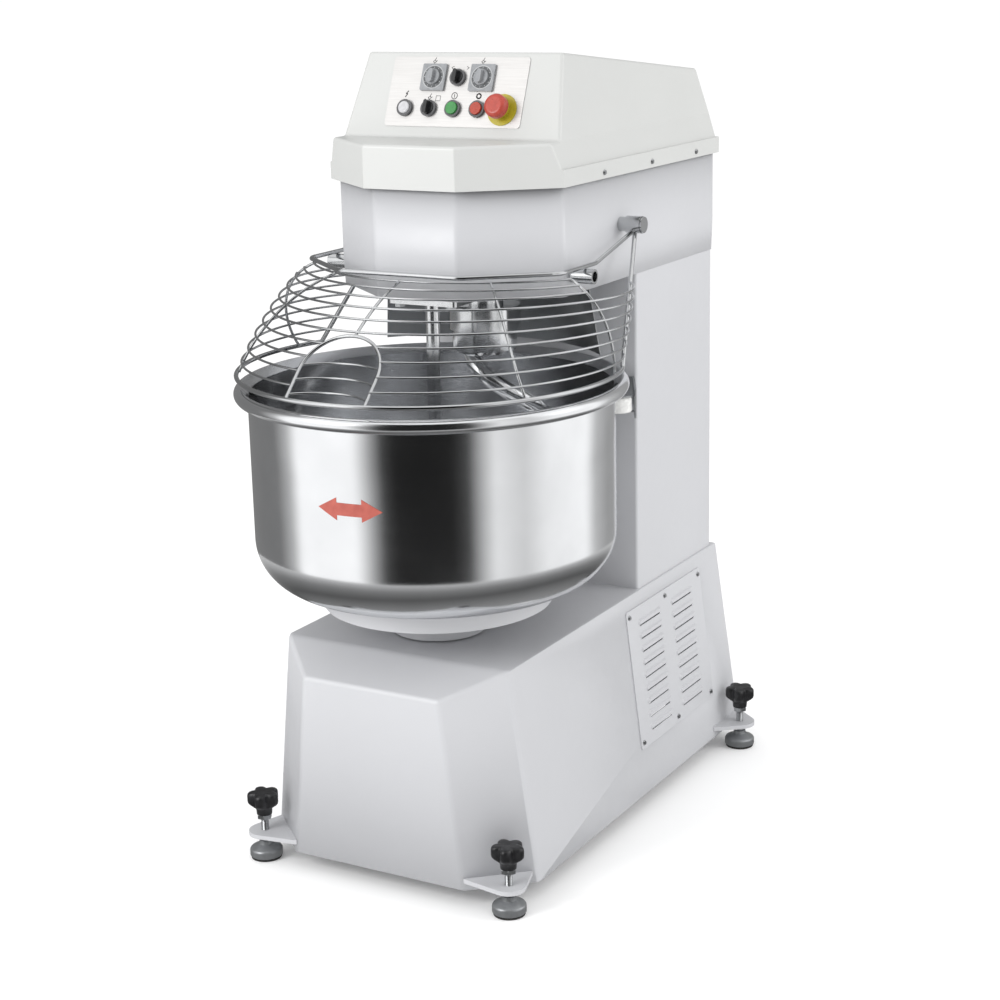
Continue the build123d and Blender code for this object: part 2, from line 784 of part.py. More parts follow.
# Bowl: spun stainless steel with a rolled rim, on a dished seat whose shaft runs down into the base
with BuildPart() as mixing_bowl:
    with BuildSketch(section(bowl_y)):
        with BuildLine():
            outside = FilletPolyline(
                (0, bowl_bottom_z), (bowl_outer_radius, bowl_bottom_z), (bowl_outer_radius, rim_z),
                radius=bowl_corner_radius)
            inside = FilletPolyline(
                (0, bowl_bottom_z + bowl_wall),
                (bowl_outer_radius - bowl_wall, bowl_bottom_z + bowl_wall),
                (bowl_outer_radius - bowl_wall, rim_z),
                radius=bowl_corner_radius - bowl_wall)
            Line(outside @ 0, inside @ 0)
            Line(outside @ 1, inside @ 1)
        make_face()
        with Locations((rim_outer_radius - rim_bead / 2, rim_z)):
            Circle(rim_bead / 2)
    revolve(axis=bowl_axis)
keep(mixing_bowl.part, "mixing_bowl")

bowl_pulley_z = base_top_z - bowl_pulley_drop
dish_rim = 14.0
with BuildPart() as bowl_support_dish:
    with BuildSketch(section(bowl_y)):
        with BuildLine():
            Polyline(
                (0, bowl_bottom_z),
                (dish_radius, bowl_bottom_z),
                (dish_radius, bowl_bottom_z - dish_height),
                (dish_radius - dish_rim, bowl_bottom_z - dish_height),
                (dish_radius - dish_rim, bowl_bottom_z - dish_thickness),
                (dish_hub_radius, bowl_bottom_z - dish_thickness - dish_rim),
                (dish_hub_radius, base_top_z + dish_gap),
                (bowl_shaft / 2, base_top_z + dish_gap),
                (bowl_shaft / 2, bowl_pulley_z + pulley_width),
                (bowl_shaft / 2 - pulley_seat_step, bowl_pulley_z + pulley_width),
                (bowl_shaft / 2 - pulley_seat_step, bowl_pulley_z),
                (0, bowl_pulley_z),
                close=True,
            )
        make_face()
    revolve(axis=bowl_axis)
keep(bowl_support_dish.part, "bowl_support_dish")


def bearing_housing(name, y, flange_diameter, flange_z, bolt_places, tube_diameter, low_z, high_z, bore):
    """A flanged tube around an upright shaft; it holds the two ball bearings."""
    with BuildPart() as housing:
        with BuildSketch(Plane.XY.offset(flange_z)):
            with Locations((0, y)):
                Circle(flange_diameter / 2)
        extrude(amount=bearing_flange_height)
        with BuildSketch(Plane.XY.offset(low_z)):
            with Locations((0, y)):
                Circle(tube_diameter / 2)
        extrude(amount=high_z - low_z)
        drill(Plane.XY.offset(flange_z), [(0, y)], bore, high_z - low_z)
        drill(Plane.XY.offset(flange_z), bolt_places, bolt_shank + 2 * screw_fit, 2 * bearing_flange_height)
    keep(housing.part, name)


bearing_housing(
    "bowl_bearing_housing", bowl_y, bowl_bearing_flange, base_top_z - sheet - bearing_flange_height,
    bowl_bolt_places, bearing_tube, base_top_z - bowl_bearing_length, base_top_z, bowl_bearing_bore)
spiral_bearing_top = head_bottom_z + spiral_bearing_length
spiral_bearing_low = head_bottom_z - bearing_flange_height - 2 * sheet
bearing_housing(
    "spiral_bearing_housing", spiral_y, bearing_flange, head_bottom_z - bearing_flange_height,
    spiral_bolt_places, spiral_tube - 2 * screw_fit, spiral_bearing_low, spiral_bearing_top,
    spiral_shaft + 2 * running_fit)


def pulley(name, y, z, diameter, bore, shaft_low, shaft_high):
    """A grooved belt pulley; with no bore it carries its own motor shaft between the two levels."""
    radius = diameter / 2
    flange = (pulley_width - belt_width) / 2 - moving_gap
    axis = Axis((0, y, 0), (0, 0, 1))
    with BuildPart() as wheel:
        with BuildSketch(section(y)):
            with BuildLine():
                Polyline(
                    (0, z),
                    (radius, z),
                    (radius, z + flange),
                    (radius - groove_depth, z + flange),
                    (radius - groove_depth, z + pulley_width - flange),
                    (radius, z + pulley_width - flange),
                    (radius, z + pulley_width),
                    (0, z + pulley_width),
                    close=True,
                )
            make_face()
        revolve(axis=axis)
        if bore:
            web_middle = (radius + groove_depth) / 2
            with BuildSketch(section(y)) as dishing:
                with Locations((web_middle, z), (web_middle, z + pulley_width)):
                    Rectangle(radius - 4 * groove_depth, pulley_width * 2 / 3)
            revolve(dishing.sketch, axis=axis, mode=Mode.SUBTRACT)
            drill(Plane.XY.offset(z), [(0, y)], bore, 2 * pulley_width)
        else:
            with BuildSketch(Plane.XY.offset(shaft_low)) as shaft:
                with Locations((0, y)):
                    Circle(motor_shaft / 2)
            extrude(shaft.sketch, amount=shaft_high - shaft_low)
    keep(wheel.part, name)


bowl_motor_y = bowl_y + bowl_motor_offset
spiral_motor_y = spiral_y + spiral_motor_offset
spiral_pulley_z = spiral_bearing_top + dish_gap
bowl_motor_low = bowl_pulley_z + pulley_width + dish_rim
spiral_motor_top = spiral_pulley_z - dish_rim
pulley("bowl_pulley", bowl_y, bowl_pulley_z, large_pulley, bowl_shaft - 2 * pulley_seat_step, 0, 0)
pulley("spiral_pulley", spiral_y, spiral_pulley_z, large_pulley, spiral_shaft - 2 * pulley_seat_step, 0, 0)
pulley(
    "bowl_motor_pulley", bowl_motor_y, bowl_pulley_z, small_pulley, 0,
    bowl_pulley_z, bowl_motor_low + motor_shaft_length - moving_gap)
pulley(
    "spiral_motor_pulley", spiral_motor_y, spiral_pulley_z, small_pulley, 0,
    spiral_motor_top - motor_shaft_length + moving_gap, spiral_pulley_z + pulley_width)


def drive_belt(name, front_y, rear_y, z):
    """A closed belt that wraps the grooves of a large pulley in front and a small one behind."""
    seat_large = large_pulley / 2 - groove_depth + moving_gap
    seat_small = small_pulley / 2 - groove_depth + moving_gap
    with BuildPart() as belt:
        for growth, mode in ((belt_thickness, Mode.ADD), (0, Mode.SUBTRACT)):
            with BuildSketch(Plane.XY.offset(z + (pulley_width - belt_width) / 2)) as loop:
                with Locations((0, front_y)):
                    Circle(seat_large + growth)
                with Locations((0, rear_y)):
                    Circle(seat_small + growth)
                make_hull()
            extrude(loop.sketch, amount=belt_width, mode=mode)
    keep(belt.part, name)


drive_belt("bowl_drive_belt", bowl_y, bowl_motor_y, bowl_pulley_z)
drive_belt("spiral_drive_belt", spiral_y, spiral_motor_y, spiral_pulley_z)

# Motors: upright, the bowl's hung under the base top and the spiral's bolted inside the column front
motor_shaft_bore = motor_shaft + 2 * running_fit
motor_foot = 150.0
motor_flange = bowl_motor_diameter + 30
with BuildPart() as bowl_motor:
    with BuildSketch(Plane.XY.offset(bowl_motor_low)):
        with Locations((0, bowl_motor_y)):
            Circle(bowl_motor_diameter / 2)
    extrude(amount=base_top_z - sheet - bowl_motor_low)
    with BuildSketch(Plane.XY.offset(base_top_z - sheet)):
        with Locations((0, bowl_motor_y)):
            RectangleRounded(motor_flange, motor_flange, edge_radius)
    extrude(amount=-bearing_flange_height)
    drill(Plane.XY.offset(bowl_motor_low), [(0, bowl_motor_y)], motor_shaft_bore, motor_shaft_length)
keep(bowl_motor.part, "bowl_motor")

with BuildPart() as spiral_motor:
    with BuildSketch(Plane.XY.offset(spiral_motor_top)):
        with Locations((0, spiral_motor_y)):
            Circle(spiral_motor_diameter / 2)
    extrude(amount=-spiral_motor_length)
    foot_depth = spiral_motor_y - column_front_y - sheet
    with BuildSketch(Plane.XY.offset(head_bottom_z - 2 * edge_radius)):
        with Locations((0, column_front_y + sheet + foot_depth / 2)):
            Rectangle(motor_foot, foot_depth)
    extrude(amount=-motor_foot)
    drill(Plane.XY.offset(spiral_motor_top), [(0, spiral_motor_y)], motor_shaft_bore, motor_shaft_length)
keep(spiral_motor.part, "spiral_motor")

# Contactor panel on the left wall of the column
contactor_size = (70.0, 45.0)
contactor_pitch = (53.0, 90.0)
contactor_panel_back = 40.0    # behind the middle of the column
contactor_wall = Plane(
    origin=(sheet - column_half_width, column_y + contactor_panel_back, base_top_z + column_height / 2),
    x_dir=(0, 1, 0), z_dir=(1, 0, 0))
with BuildPart() as contactor_panel:
    with BuildSketch(contactor_wall):
        Rectangle(column_depth / 2, column_height / 3)
    extrude(amount=panel_sheet)
    with BuildSketch(contactor_wall.offset(panel_sheet)):
        with GridLocations(*contactor_pitch, 3, 2):
            Rectangle(contactor_size[1], contactor_size[0])
    extrude(amount=contactor_size[0])
keep(contactor_panel.part, "contactor_panel")

# Spiral drum with its shaft: a flanged collar under the head, closed below where the bar leaves it
drum_top_z = head_bottom_z - drum_below_head
drum_low_z = drum_top_z - drum_flange_height - drum_height
with BuildPart() as spiral_drum:
    with BuildSketch(section(spiral_y)):
        with BuildLine():
            Polyline(
                (0, drum_low_z),
                (drum / 2 - edge_radius, drum_low_z),
                (drum / 2, drum_low_z + edge_radius),
                (drum / 2, drum_top_z - drum_flange_height),
                (drum_flange / 2, drum_top_z - drum_flange_height),
                (drum_flange / 2, drum_top_z),
                (spiral_shaft / 2, drum_top_z),
                (spiral_shaft / 2, spiral_pulley_z),
                (spiral_shaft / 2 - pulley_seat_step, spiral_pulley_z),
                (spiral_shaft / 2 - pulley_seat_step, spiral_pulley_z + pulley_width),
                (0, spiral_pulley_z + pulley_width),
                close=True,
            )
        make_face()
    revolve(axis=spiral_axis)
keep(spiral_drum.part, "spiral_drum")

# Kneading spiral: one bent bar that swings out of the drum, winds down and curls in above the floor
spiral_foot_z = bowl_bottom_z + bowl_wall + spiral_floor_gap + spiral_bar / 2
spiral_head_z = drum_low_z
spiral_drop = spiral_head_z - spiral_foot_z
spiral_start_radius = drum / 2 - spiral_bar / 2 - edge_radius
spiral_points = 13
spiral_start_turn = -100.0     # bearing of the bar where it leaves the drum
spiral_swing_share = 0.3       # share of the bar over which it swings out
spiral_curl_share = 0.2        # share of the bar that curls in to the tip
spiral_fall_power = 1.15
spiral_corner_gap = 7.0        # between the bar and the rounded corner of the bowl
spiral_corner_reach = bowl_corner_radius - bowl_wall - spiral_bar / 2 - spiral_corner_gap
spiral_corner_run = bowl_outer_radius - bowl_corner_radius - spiral_offset
tip_round = 0.5
tip_taper = 30.0


def spiral_point(share):
    """A point of the bar's middle line, from the drum (0) to the tip (1)."""
    turn = radians(spiral_start_turn + 360 * spiral_turns * share)
    swing = min(1, share / spiral_swing_share)
    curl = max(0, (share - 1) / spiral_curl_share + 1)
    radius = spiral_start_radius + (spiral_radius - spiral_start_radius) * sin(radians(90 * swing))
    radius -= (spiral_radius - spiral_bar) * curl ** 2
    fall = spiral_drop * sin(radians(90 * share)) ** spiral_fall_power
    below_corner = max(0, bowl_bottom_z + bowl_corner_radius - spiral_head_z + fall)
    radius = min(radius, spiral_corner_run + sqrt(spiral_corner_reach ** 2 - below_corner ** 2))
    return (radius * cos(turn), spiral_y + radius * sin(turn), spiral_head_z - fall)


with BuildPart() as spiral_hook:
    with BuildLine() as bar_line:
        Spline([spiral_point(index / (spiral_points - 1)) for index in range(spiral_points)])
    with BuildSketch(Plane(origin=bar_line.line @ 0, z_dir=bar_line.line % 0)):
        Circle(spiral_bar / 2)
    sweep(path=bar_line.line)
    with BuildSketch(Plane(origin=bar_line.line @ 1, z_dir=bar_line.line % 1)) as tip:
        Circle(spiral_bar / 2 - tip_round)
    extrude(tip.sketch, amount=spiral_bar / 4, taper=tip_taper)
    with BuildSketch(Plane.XY.offset(drum_low_z)) as trim:
        with Locations((0, spiral_y)):
            Circle(drum_flange)
    extrude(trim.sketch, amount=spiral_bar * 2, mode=Mode.SUBTRACT)
keep(spiral_hook.part, "spiral_hook")

# Breaker bar: a fixed upright bar near the bowl's axis, flanged and bolted under the head
breaker_low_z = bowl_bottom_z + bowl_wall + breaker_floor_gap
breaker_flange_height = 12.0
with BuildPart() as breaker_bar:
    with BuildSketch(Plane.XY.offset(breaker_low_z)):
        with Locations((0, breaker_y)):
            Circle(breaker_bar_width / 2)
    extrude(amount=head_bottom_z - breaker_low_z)
    fillet(breaker_bar.faces().sort_by(Axis.Z)[0].edges(), breaker_bar_width / 3)
    with BuildSketch(Plane.XY.offset(head_bottom_z)):
        with Locations((0, breaker_y)):
            RectangleRounded(*breaker_flange_size, edge_radius)
    extrude(amount=-breaker_flange_height)
    drill(
        Plane.XY.offset(head_bottom_z), breaker_bolt_places, bolt_shank + 2 * screw_fit,
        2 * breaker_flange_height)
keep(breaker_bar.part, "breaker_bar")

# Hexagon bolts that hold the bearing flange and the breaker bar up against the head
bolt_sets = (
    (head_bottom_z - bearing_flange_height, spiral_bolt_places),
    (head_bottom_z - breaker_flange_height, breaker_bolt_places),
)
with BuildPart() as flange_bolts:
    for level, places in bolt_sets:
        with BuildSketch(Plane.XY.offset(level)) as bolt_heads:
            with Locations(*places):
                RegularPolygon(bolt_flats / 2, 6, major_radius=False)
        extrude(bolt_heads.sketch, amount=-bolt_head_height)
        with BuildSketch(Plane.XY.offset(level)) as bolt_shanks:
            with Locations(*places):
                Circle(bolt_shank / 2)
        extrude(bolt_shanks.sketch, amount=head_bottom_z - level + 2 * sheet)
keep(flange_bolts.part, "flange_bolts")

# Splash shield: a stainless sheet rolled to a cone behind the tool, flanged under the head
shield_low_z = rim_z + shield_above_rim
shield_flange = 8.0
shield_plane = Plane(
    origin=(0, bowl_y, 0),
    x_dir=(sin(radians(shield_half_angle)), cos(radians(shield_half_angle)), 0),
    z_dir=(cos(radians(shield_half_angle)), -sin(radians(shield_half_angle)), 0),
)
with BuildPart() as splash_shield:
    with BuildSketch(shield_plane):
        with BuildLine():
            Polyline(
                (shield_top_radius - shield_flange, head_bottom_z),
                (shield_top_radius + panel_sheet, head_bottom_z),
                (shield_bottom_radius + panel_sheet, shield_low_z),
                (shield_bottom_radius, shield_low_z),
                (shield_top_radius, head_bottom_z - panel_sheet),
                (shield_top_radius - shield_flange, head_bottom_z - panel_sheet),
                close=True,
            )
        make_face()
    revolve(axis=bowl_axis, revolution_arc=2 * shield_half_angle)
keep(splash_shield.part, "splash_shield")

# Guard: a dome of round hoops on upright ribs, hung from a bent top rod that swings at the head sides
ring_y = bowl_y - guard_lead
ring_z = rim_z + guard_ring_rise
top_rod_z = head_bottom_z + guard_top_above_head
dome_height = top_rod_z - ring_z
dome_angle = 69.0
sleeve_x = head_half_width + pivot_spacer_length + pivot_sleeve_length / 2
end_y = bowl_y + guard_end_run
end_x = sqrt(guard_radius ** 2 - (end_y - ring_y) ** 2)


def hoop_z(share):
    """Height of a hoop, from the bottom ring (0) to the top hoop (1)."""
    return ring_z + dome_height * sin(radians(dome_angle * share))


hoop_lean_power = 1.15
front_rib_angles = (-31.0, -62.5)     # at the bottom ring and at the top hoop
side_rib_angles = (12.0, -39.0)


def hoop_y(share):
    """Centre of a hoop; the higher ones stand further back."""
    return ring_y + guard_sweep_back * share ** hoop_lean_power


def hoop_point(share, angle, inwards=0.0):
    """A point of a hoop at an angle from +X, or a point further in on the same radius."""
    reach = guard_radius - inwards
    return Vector(
        reach * cos(radians(angle)), hoop_y(share) + reach * sin(radians(angle)), hoop_z(share))


def front_rib_angle(share):
    """Bearing of the front rib at a height on the guard."""
    return front_rib_angles[0] + (front_rib_angles[1] - front_rib_angles[0]) * share


def side_rib_angle(share):
    """Bearing of the side rib at a height on the guard."""
    return side_rib_angles[0] + (side_rib_angles[1] - side_rib_angles[0]) * share


def wire(path, diameter):
    """Round wire along a path, added to the current part."""
    with BuildSketch(Plane(origin=path @ 0, z_dir=path % 0)) as round_wire:
        Circle(diameter / 2)
    sweep(round_wire.sketch, path=path)


def rear_rod_point(z):
    """The point at height z on the straight rod from the pivot sleeve down to the bottom ring."""
    share = (z - ring_z) / (rod_top.Z - ring_z)
    return Vector(end_x, end_y, ring_z) * (1 - share) + rod_top * share


weld_depth = 4.0
rod_top = Vector(sleeve_x, pivot_y, pivot_z - pivot_sleeve / 2 + weld_depth)
arch_top_y = hoop_y(arch_top) - guard_radius
arch_foot_y = ring_y - sqrt(guard_radius ** 2 - arch_half_width ** 2)
arch_slope = sqrt((arch_top_y - arch_foot_y) ** 2 + (hoop_z(arch_top) - ring_z) ** 2)
arch_shoulder = arch_slope - arch_half_width
arch_plane = Plane(
    origin=(0, arch_foot_y, ring_z),
    x_dir=(1, 0, 0),
    z_dir=(0, ring_z - hoop_z(arch_top), arch_top_y - arch_foot_y),
)


def arch_half_at(z):
    """Half width of the feed arch at height z, or nothing above its top."""
    height = (z - ring_z) / (hoop_z(arch_top) - ring_z) * arch_slope
    if height <= arch_shoulder:
        return arch_half_width
    return sqrt(max(0, arch_half_width ** 2 - (height - arch_shoulder) ** 2))


def hoop_half(share, full):
    """Right half of a hoop, from the front or the feed arch round to the rear rod or the side rib."""
    z = hoop_z(share)
    gap = arch_half_at(z) if 0 < share < arch_top else 0
    first = -degrees(atan2(sqrt(guard_radius ** 2 - gap ** 2), gap))
    last = side_rib_angle(share)
    with BuildLine(Plane.XY.offset(z)) as half:
        front = CenterArc((0, hoop_y(share)), guard_radius, first, last - first)
        if full:
            tail = rear_rod_point(z)
            TangentArc(front @ 1, (tail.X, tail.Y), tangent=front % 1)
    return half.wire()


with BuildPart() as guard_bottom_ring:
    with BuildLine(Plane.XY.offset(ring_z)) as ring_half:
        CenterArc((0, ring_y), guard_radius, -90, 90 + degrees(atan2(end_y - ring_y, end_x)))
    wire(ring_half.wire(), heavy_wire)
    mirror(about=Plane.YZ)
keep(guard_bottom_ring.part, "guard_bottom_ring")

with BuildPart() as guard_hoops:
    for number in range(1, hoops + 1):
        wire(hoop_half(number / hoops, number <= full_hoops), hoop_wire)
    mirror(about=Plane.YZ)
keep(guard_hoops.part, "guard_hoops")

# Top rod of the guard with its two pivot sleeves; the side rods rise at a knee to meet the sleeves
with BuildPart() as guard_top_rod:
    with BuildLine() as top_half:
        FilletPolyline(
            (0, bowl_y - guard_front_top_run, top_rod_z),
            (guard_top_front_half, bowl_y - guard_front_top_run, top_rod_z),
            (guard_top_side_half, bowl_y + guard_corner_run, top_rod_z),
            (guard_top_side_half, bowl_y + guard_knee_run, top_rod_z),
            (guard_top_side_half, pivot_y - weld_depth, pivot_z - pivot_sleeve / 2 + weld_depth),
            radius=4 * heavy_wire)
    wire(top_half.wire(), heavy_wire)
    with BuildSketch(Plane.YZ.offset(sleeve_x)) as sleeve:
        with Locations((pivot_y, pivot_z)):
            Circle(pivot_sleeve / 2)
    extrude(sleeve.sketch, amount=pivot_sleeve_length / 2, both=True)
    mirror(about=Plane.YZ)
    drill(Plane.YZ, [(pivot_y, pivot_z)], pivot_pin + 2 * running_fit, sleeve_x + pivot_sleeve_length)
keep(guard_top_rod.part, "guard_top_rod")

# Ribs: wires inside the hoops, from the top rod down to the bottom ring, with the two rear rods, and
# the feed arch, a round-topped opening at the front with three bars bowed inwards across it
rib_inset = (hoop_wire + rib_wire) / 2 - 0.5
rib_stations = (0.0, 0.2, 0.4, 0.6, 0.8, 1.0)
arch_bars = (0.08, 0.3, 0.52)
arch_bar_bow = 34.0
with BuildPart() as guard_ribs:
    for rib_angle in (front_rib_angle, side_rib_angle):
        with BuildLine() as rib_line:
            Spline([hoop_point(share, rib_angle(share), rib_inset) for share in rib_stations])
        wire(rib_line.wire(), rib_wire)
    with BuildLine() as rear_line:
        Line((end_x, end_y, ring_z), rod_top)
    wire(rear_line.wire(), heavy_wire)
    mirror(about=Plane.YZ)
    with BuildLine() as centre_rib:
        Spline([hoop_point(arch_top + (1 - arch_top) * share, -90, rib_inset) for share in rib_stations])
    wire(centre_rib.wire(), rib_wire)
    with BuildLine(arch_plane) as arch_line:
        Line((-arch_half_width, 0), (-arch_half_width, arch_shoulder))
        arch_crown = CenterArc((0, arch_shoulder), arch_half_width, 180, -180)
        Line(arch_crown @ 1, (arch_half_width, 0))
    wire(arch_line.wire(), arch_wire)
    for share in arch_bars:
        level = ring_z + (hoop_z(arch_top) - ring_z) * share
        bar_y = arch_foot_y + (arch_top_y - arch_foot_y) * share
        with BuildLine() as bar:
            ThreePointArc(
                (-arch_half_width, bar_y, level),
                (0, bar_y + arch_bar_bow, level),
                (arch_half_width, bar_y, level),
            )
        wire(bar.wire(), hoop_wire)
keep(guard_ribs.part, "guard_ribs")

# Fixed pins of the guard: a spacer, pin and cap on each head side, and a stub that the guard rests on
peg_z = top_rod_z - (heavy_wire + rest_peg) / 2 - moving_gap
peg_wall = 4.0
peg_bore = rest_peg - 2 * peg_wall
cap_height = 3.0
with BuildPart() as guard_pins:
    for size, low, high in (
        (rest_peg, head_half_width, head_half_width + pivot_spacer_length - moving_gap),
        (pivot_pin, head_half_width, sleeve_x + pivot_sleeve_length / 2 + moving_gap),
        (pivot_sleeve - 2, sleeve_x + pivot_sleeve_length / 2 + moving_gap,
         sleeve_x + pivot_sleeve_length / 2 + moving_gap + cap_height),
    ):
        with BuildSketch(Plane.YZ.offset(low)) as collar:
            with Locations((pivot_y, pivot_z)):
                Circle(size / 2)
        extrude(collar.sketch, amount=high - low)
    with BuildSketch(Plane.YZ.offset(head_half_width)) as peg:
        with Locations((bowl_y + rest_peg_run, peg_z)):
            Circle(rest_peg / 2)
    extrude(peg.sketch, amount=rest_peg_length)
    with BuildSketch(Plane.YZ.offset(head_half_width + rest_peg_length)) as peg_end:
        with Locations((bowl_y + rest_peg_run, peg_z)):
            Circle(peg_bore / 2)
    extrude(peg_end.sketch, amount=-rest_peg_length / 2, mode=Mode.SUBTRACT)
    mirror(about=Plane.YZ)
keep(guard_pins.part, "guard_pins")

# Guide rollers: nylon, on fixed pins, they steady the bowl from behind on both sides
roller_reach = bowl_outer_radius + roller / 2 + moving_gap
roller_x = roller_reach * cos(radians(roller_angle))
roller_y = bowl_y + roller_reach * sin(radians(roller_angle))
roller_z = rim_z - roller_drop - roller_height / 2
for side, name in ((1, "guide_roller_right"), (-1, "guide_roller_left")):
    with BuildPart() as guide_roller:
        with BuildSketch(Plane.XY.offset(roller_z)):
            with Locations((side * roller_x, roller_y)):
                Circle(roller / 2)
        extrude(amount=roller_height)
        chamfer(guide_roller.edges().filter_by(GeomType.CIRCLE), 2)
        drill(
            Plane.XY.offset(roller_z), [(side * roller_x, roller_y)], roller_pin + 2 * running_fit,
            2 * roller_height)
    keep(guide_roller.part, name)

bracket_root = 40.0
ear_width = 22.0
arm_gap = 4.0
arm_tail = 8.0
arm_reach = roller / 2 + arm_gap + bracket_sheet
arm_point = Vector(
    roller_x + arm_reach * cos(radians(roller_angle)), roller_y + arm_reach * sin(radians(roller_angle)), 0)
arm_root = Vector(column_half_width - edge_radius, column_front_y - bracket_sheet / 2, 0)
arm_end = arm_point + (arm_point - arm_root).normalized() * arm_tail
bracket_low = roller_z + (roller_height - bracket_height) / 2
pin_length = roller_height + 2 * (moving_gap + panel_sheet) + panel_sheet
with BuildPart() as roller_brackets:
    with BuildSketch(Plane.XY.offset(bracket_low)) as strip:
        with BuildLine():
            Polyline(
                (arm_root.X - bracket_root, arm_root.Y), (arm_root.X, arm_root.Y), (arm_end.X, arm_end.Y))
            offset(amount=bracket_sheet / 2)
        make_face()
    extrude(strip.sketch, amount=bracket_height)
    for level in (roller_height + moving_gap, -moving_gap - panel_sheet):
        with BuildSketch(Plane.XY.offset(roller_z + level)) as ear:
            with Locations((roller_x, roller_y)):
                Circle(ear_width / 2)
            with Locations((arm_point.X, arm_point.Y)):
                Circle(bracket_sheet / 2)
            make_hull()
        extrude(ear.sketch, amount=panel_sheet)
    with BuildSketch(Plane.XY.offset(roller_z - moving_gap - panel_sheet)) as pin:
        with Locations((roller_x, roller_y)):
            Circle(roller_pin / 2)
    extrude(pin.sketch, amount=pin_length)
    mirror(about=Plane.YZ)
keep(roller_brackets.part, "roller_brackets")

# Levelling feet: a rubber-soled cup, a threaded stem with its nut, and a star knob pressed on the stem
socket_height = 34.0
pad_rim_z = 16.0
pad_shoulder_z = 22.0
pad_neck_z = 27.0
pad_bevel = 5.0
sole_inset = 2.0
knob_z = foot_nut_z + foot_nut_height
knob_hub = 28.0
knob_lobes = 5
knob_waist = knob_hub * 0.75
knob_skirt_rise = knob_hub * 0.85
knob_top_height = knob_hub * 0.7
knob_lobe_ring = foot_pad / 3
knob_lobe = foot_pad / 6
for name, (foot_x, foot_y) in foot_places.items():
    with BuildPart() as levelling_pad:
        with BuildSketch(Plane.XZ):
            with BuildLine():
                Polyline(
                    (0, foot_rubber_height),
                    (foot_pad / 2, foot_rubber_height),
                    (foot_pad / 2, pad_rim_z),
                    (foot_pad / 2 - pad_bevel, pad_shoulder_z),
                    (foot_pad / 4, pad_neck_z),
                    (foot_stem / 2 + pad_bevel, pad_neck_z + 1),
                    (foot_stem / 2 + pad_bevel, socket_height),
                    (0, socket_height),
                    close=True,
                )
            make_face()
        revolve(axis=Axis.Z)
        drill(
            Plane.XY.offset(socket_height), [(0, 0)], foot_stem + 2 * moving_gap,
            socket_height - foot_socket_z)
        with BuildSketch(Plane.XY) as sole:
            Circle(foot_pad / 2 - sole_inset)
        extrude(sole.sketch, amount=foot_rubber_height)
    keep(levelling_pad.part.moved(Location((foot_x, foot_y, 0))), f"levelling_pad_{name}")

    with BuildPart() as levelling_screw:
        with BuildSketch(Plane.XY.offset(foot_socket_z + moving_gap)):
            Circle(foot_stem / 2)
        extrude(amount=knob_z + knob_hub / 2 - foot_socket_z)
        with BuildSketch(Plane.XY.offset(foot_nut_z)):
            RegularPolygon(foot_nut_flats / 2, 6, major_radius=False)
        extrude(amount=foot_nut_height)
    keep(levelling_screw.part.moved(Location((foot_x, foot_y, 0))), f"levelling_screw_{name}")

    with BuildPart() as star_knob:
        with BuildSketch(Plane.XY.offset(knob_z)):
            Circle(knob_hub / 2)
        extrude(amount=knob_hub)
        with BuildSketch(Plane.XY.offset(knob_z + knob_hub / 2)):
            Circle(knob_waist)
        extrude(amount=knob_hub / 2)
        with BuildSketch(Plane.XY.offset(knob_z + knob_skirt_rise)):
            Circle(knob_lobe_ring)
            with PolarLocations(knob_lobe_ring, knob_lobes):
                Circle(knob_lobe)
        extrude(amount=knob_top_height)
        drill(Plane.XY.offset(knob_z), [(0, 0)], foot_stem, knob_hub / 2 + moving_gap)
    keep(star_knob.part.moved(Location((foot_x, foot_y, 0))), f"star_knob_{name}")
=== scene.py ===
import math

import bmesh
import bpy
from mathutils import Matrix, Vector


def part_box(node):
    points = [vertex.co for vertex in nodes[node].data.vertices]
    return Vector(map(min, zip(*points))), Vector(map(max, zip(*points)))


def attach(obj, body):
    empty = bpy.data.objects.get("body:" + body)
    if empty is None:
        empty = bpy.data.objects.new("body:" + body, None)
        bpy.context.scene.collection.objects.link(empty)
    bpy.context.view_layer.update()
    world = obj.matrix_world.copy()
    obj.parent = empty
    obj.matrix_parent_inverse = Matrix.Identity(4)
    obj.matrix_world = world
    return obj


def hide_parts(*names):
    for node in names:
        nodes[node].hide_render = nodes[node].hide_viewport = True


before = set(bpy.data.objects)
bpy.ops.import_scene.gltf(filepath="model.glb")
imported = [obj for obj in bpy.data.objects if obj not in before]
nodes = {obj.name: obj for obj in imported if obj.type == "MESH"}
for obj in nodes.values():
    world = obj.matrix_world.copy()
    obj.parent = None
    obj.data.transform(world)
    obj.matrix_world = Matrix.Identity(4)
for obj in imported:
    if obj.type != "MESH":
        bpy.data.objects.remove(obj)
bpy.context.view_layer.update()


# The camera. A long lens stands in front of the machine and to its right, a little above the cover,
# and looks down at the bowl.
camera_place = Vector((1.8509, -3.1827, 1.598))
camera_target = Vector((0.04269, -0.02648, 0.6210))
camera_roll = math.radians(-1.315)
look = (camera_target - camera_place).normalized()
level_right = look.cross(Vector((0, 0, 1))).normalized()
level_up = level_right.cross(look)
camera_right = level_right * math.cos(camera_roll) + level_up * math.sin(camera_roll)
camera_up = level_up * math.cos(camera_roll) - level_right * math.sin(camera_roll)
lens = bpy.data.cameras.new("studio_camera")
lens.lens = 73.33
lens.sensor_width = 36
lens.shift_x = -0.0031
lens.shift_y = -0.0014
lens.clip_end = 60
camera = bpy.data.objects.new("studio_camera", lens)
bpy.context.scene.collection.objects.link(camera)
turn = Matrix((camera_right, camera_up, -look)).transposed()
camera.matrix_world = Matrix.Translation(camera_place) @ turn.to_4x4()
bpy.context.scene.camera = camera


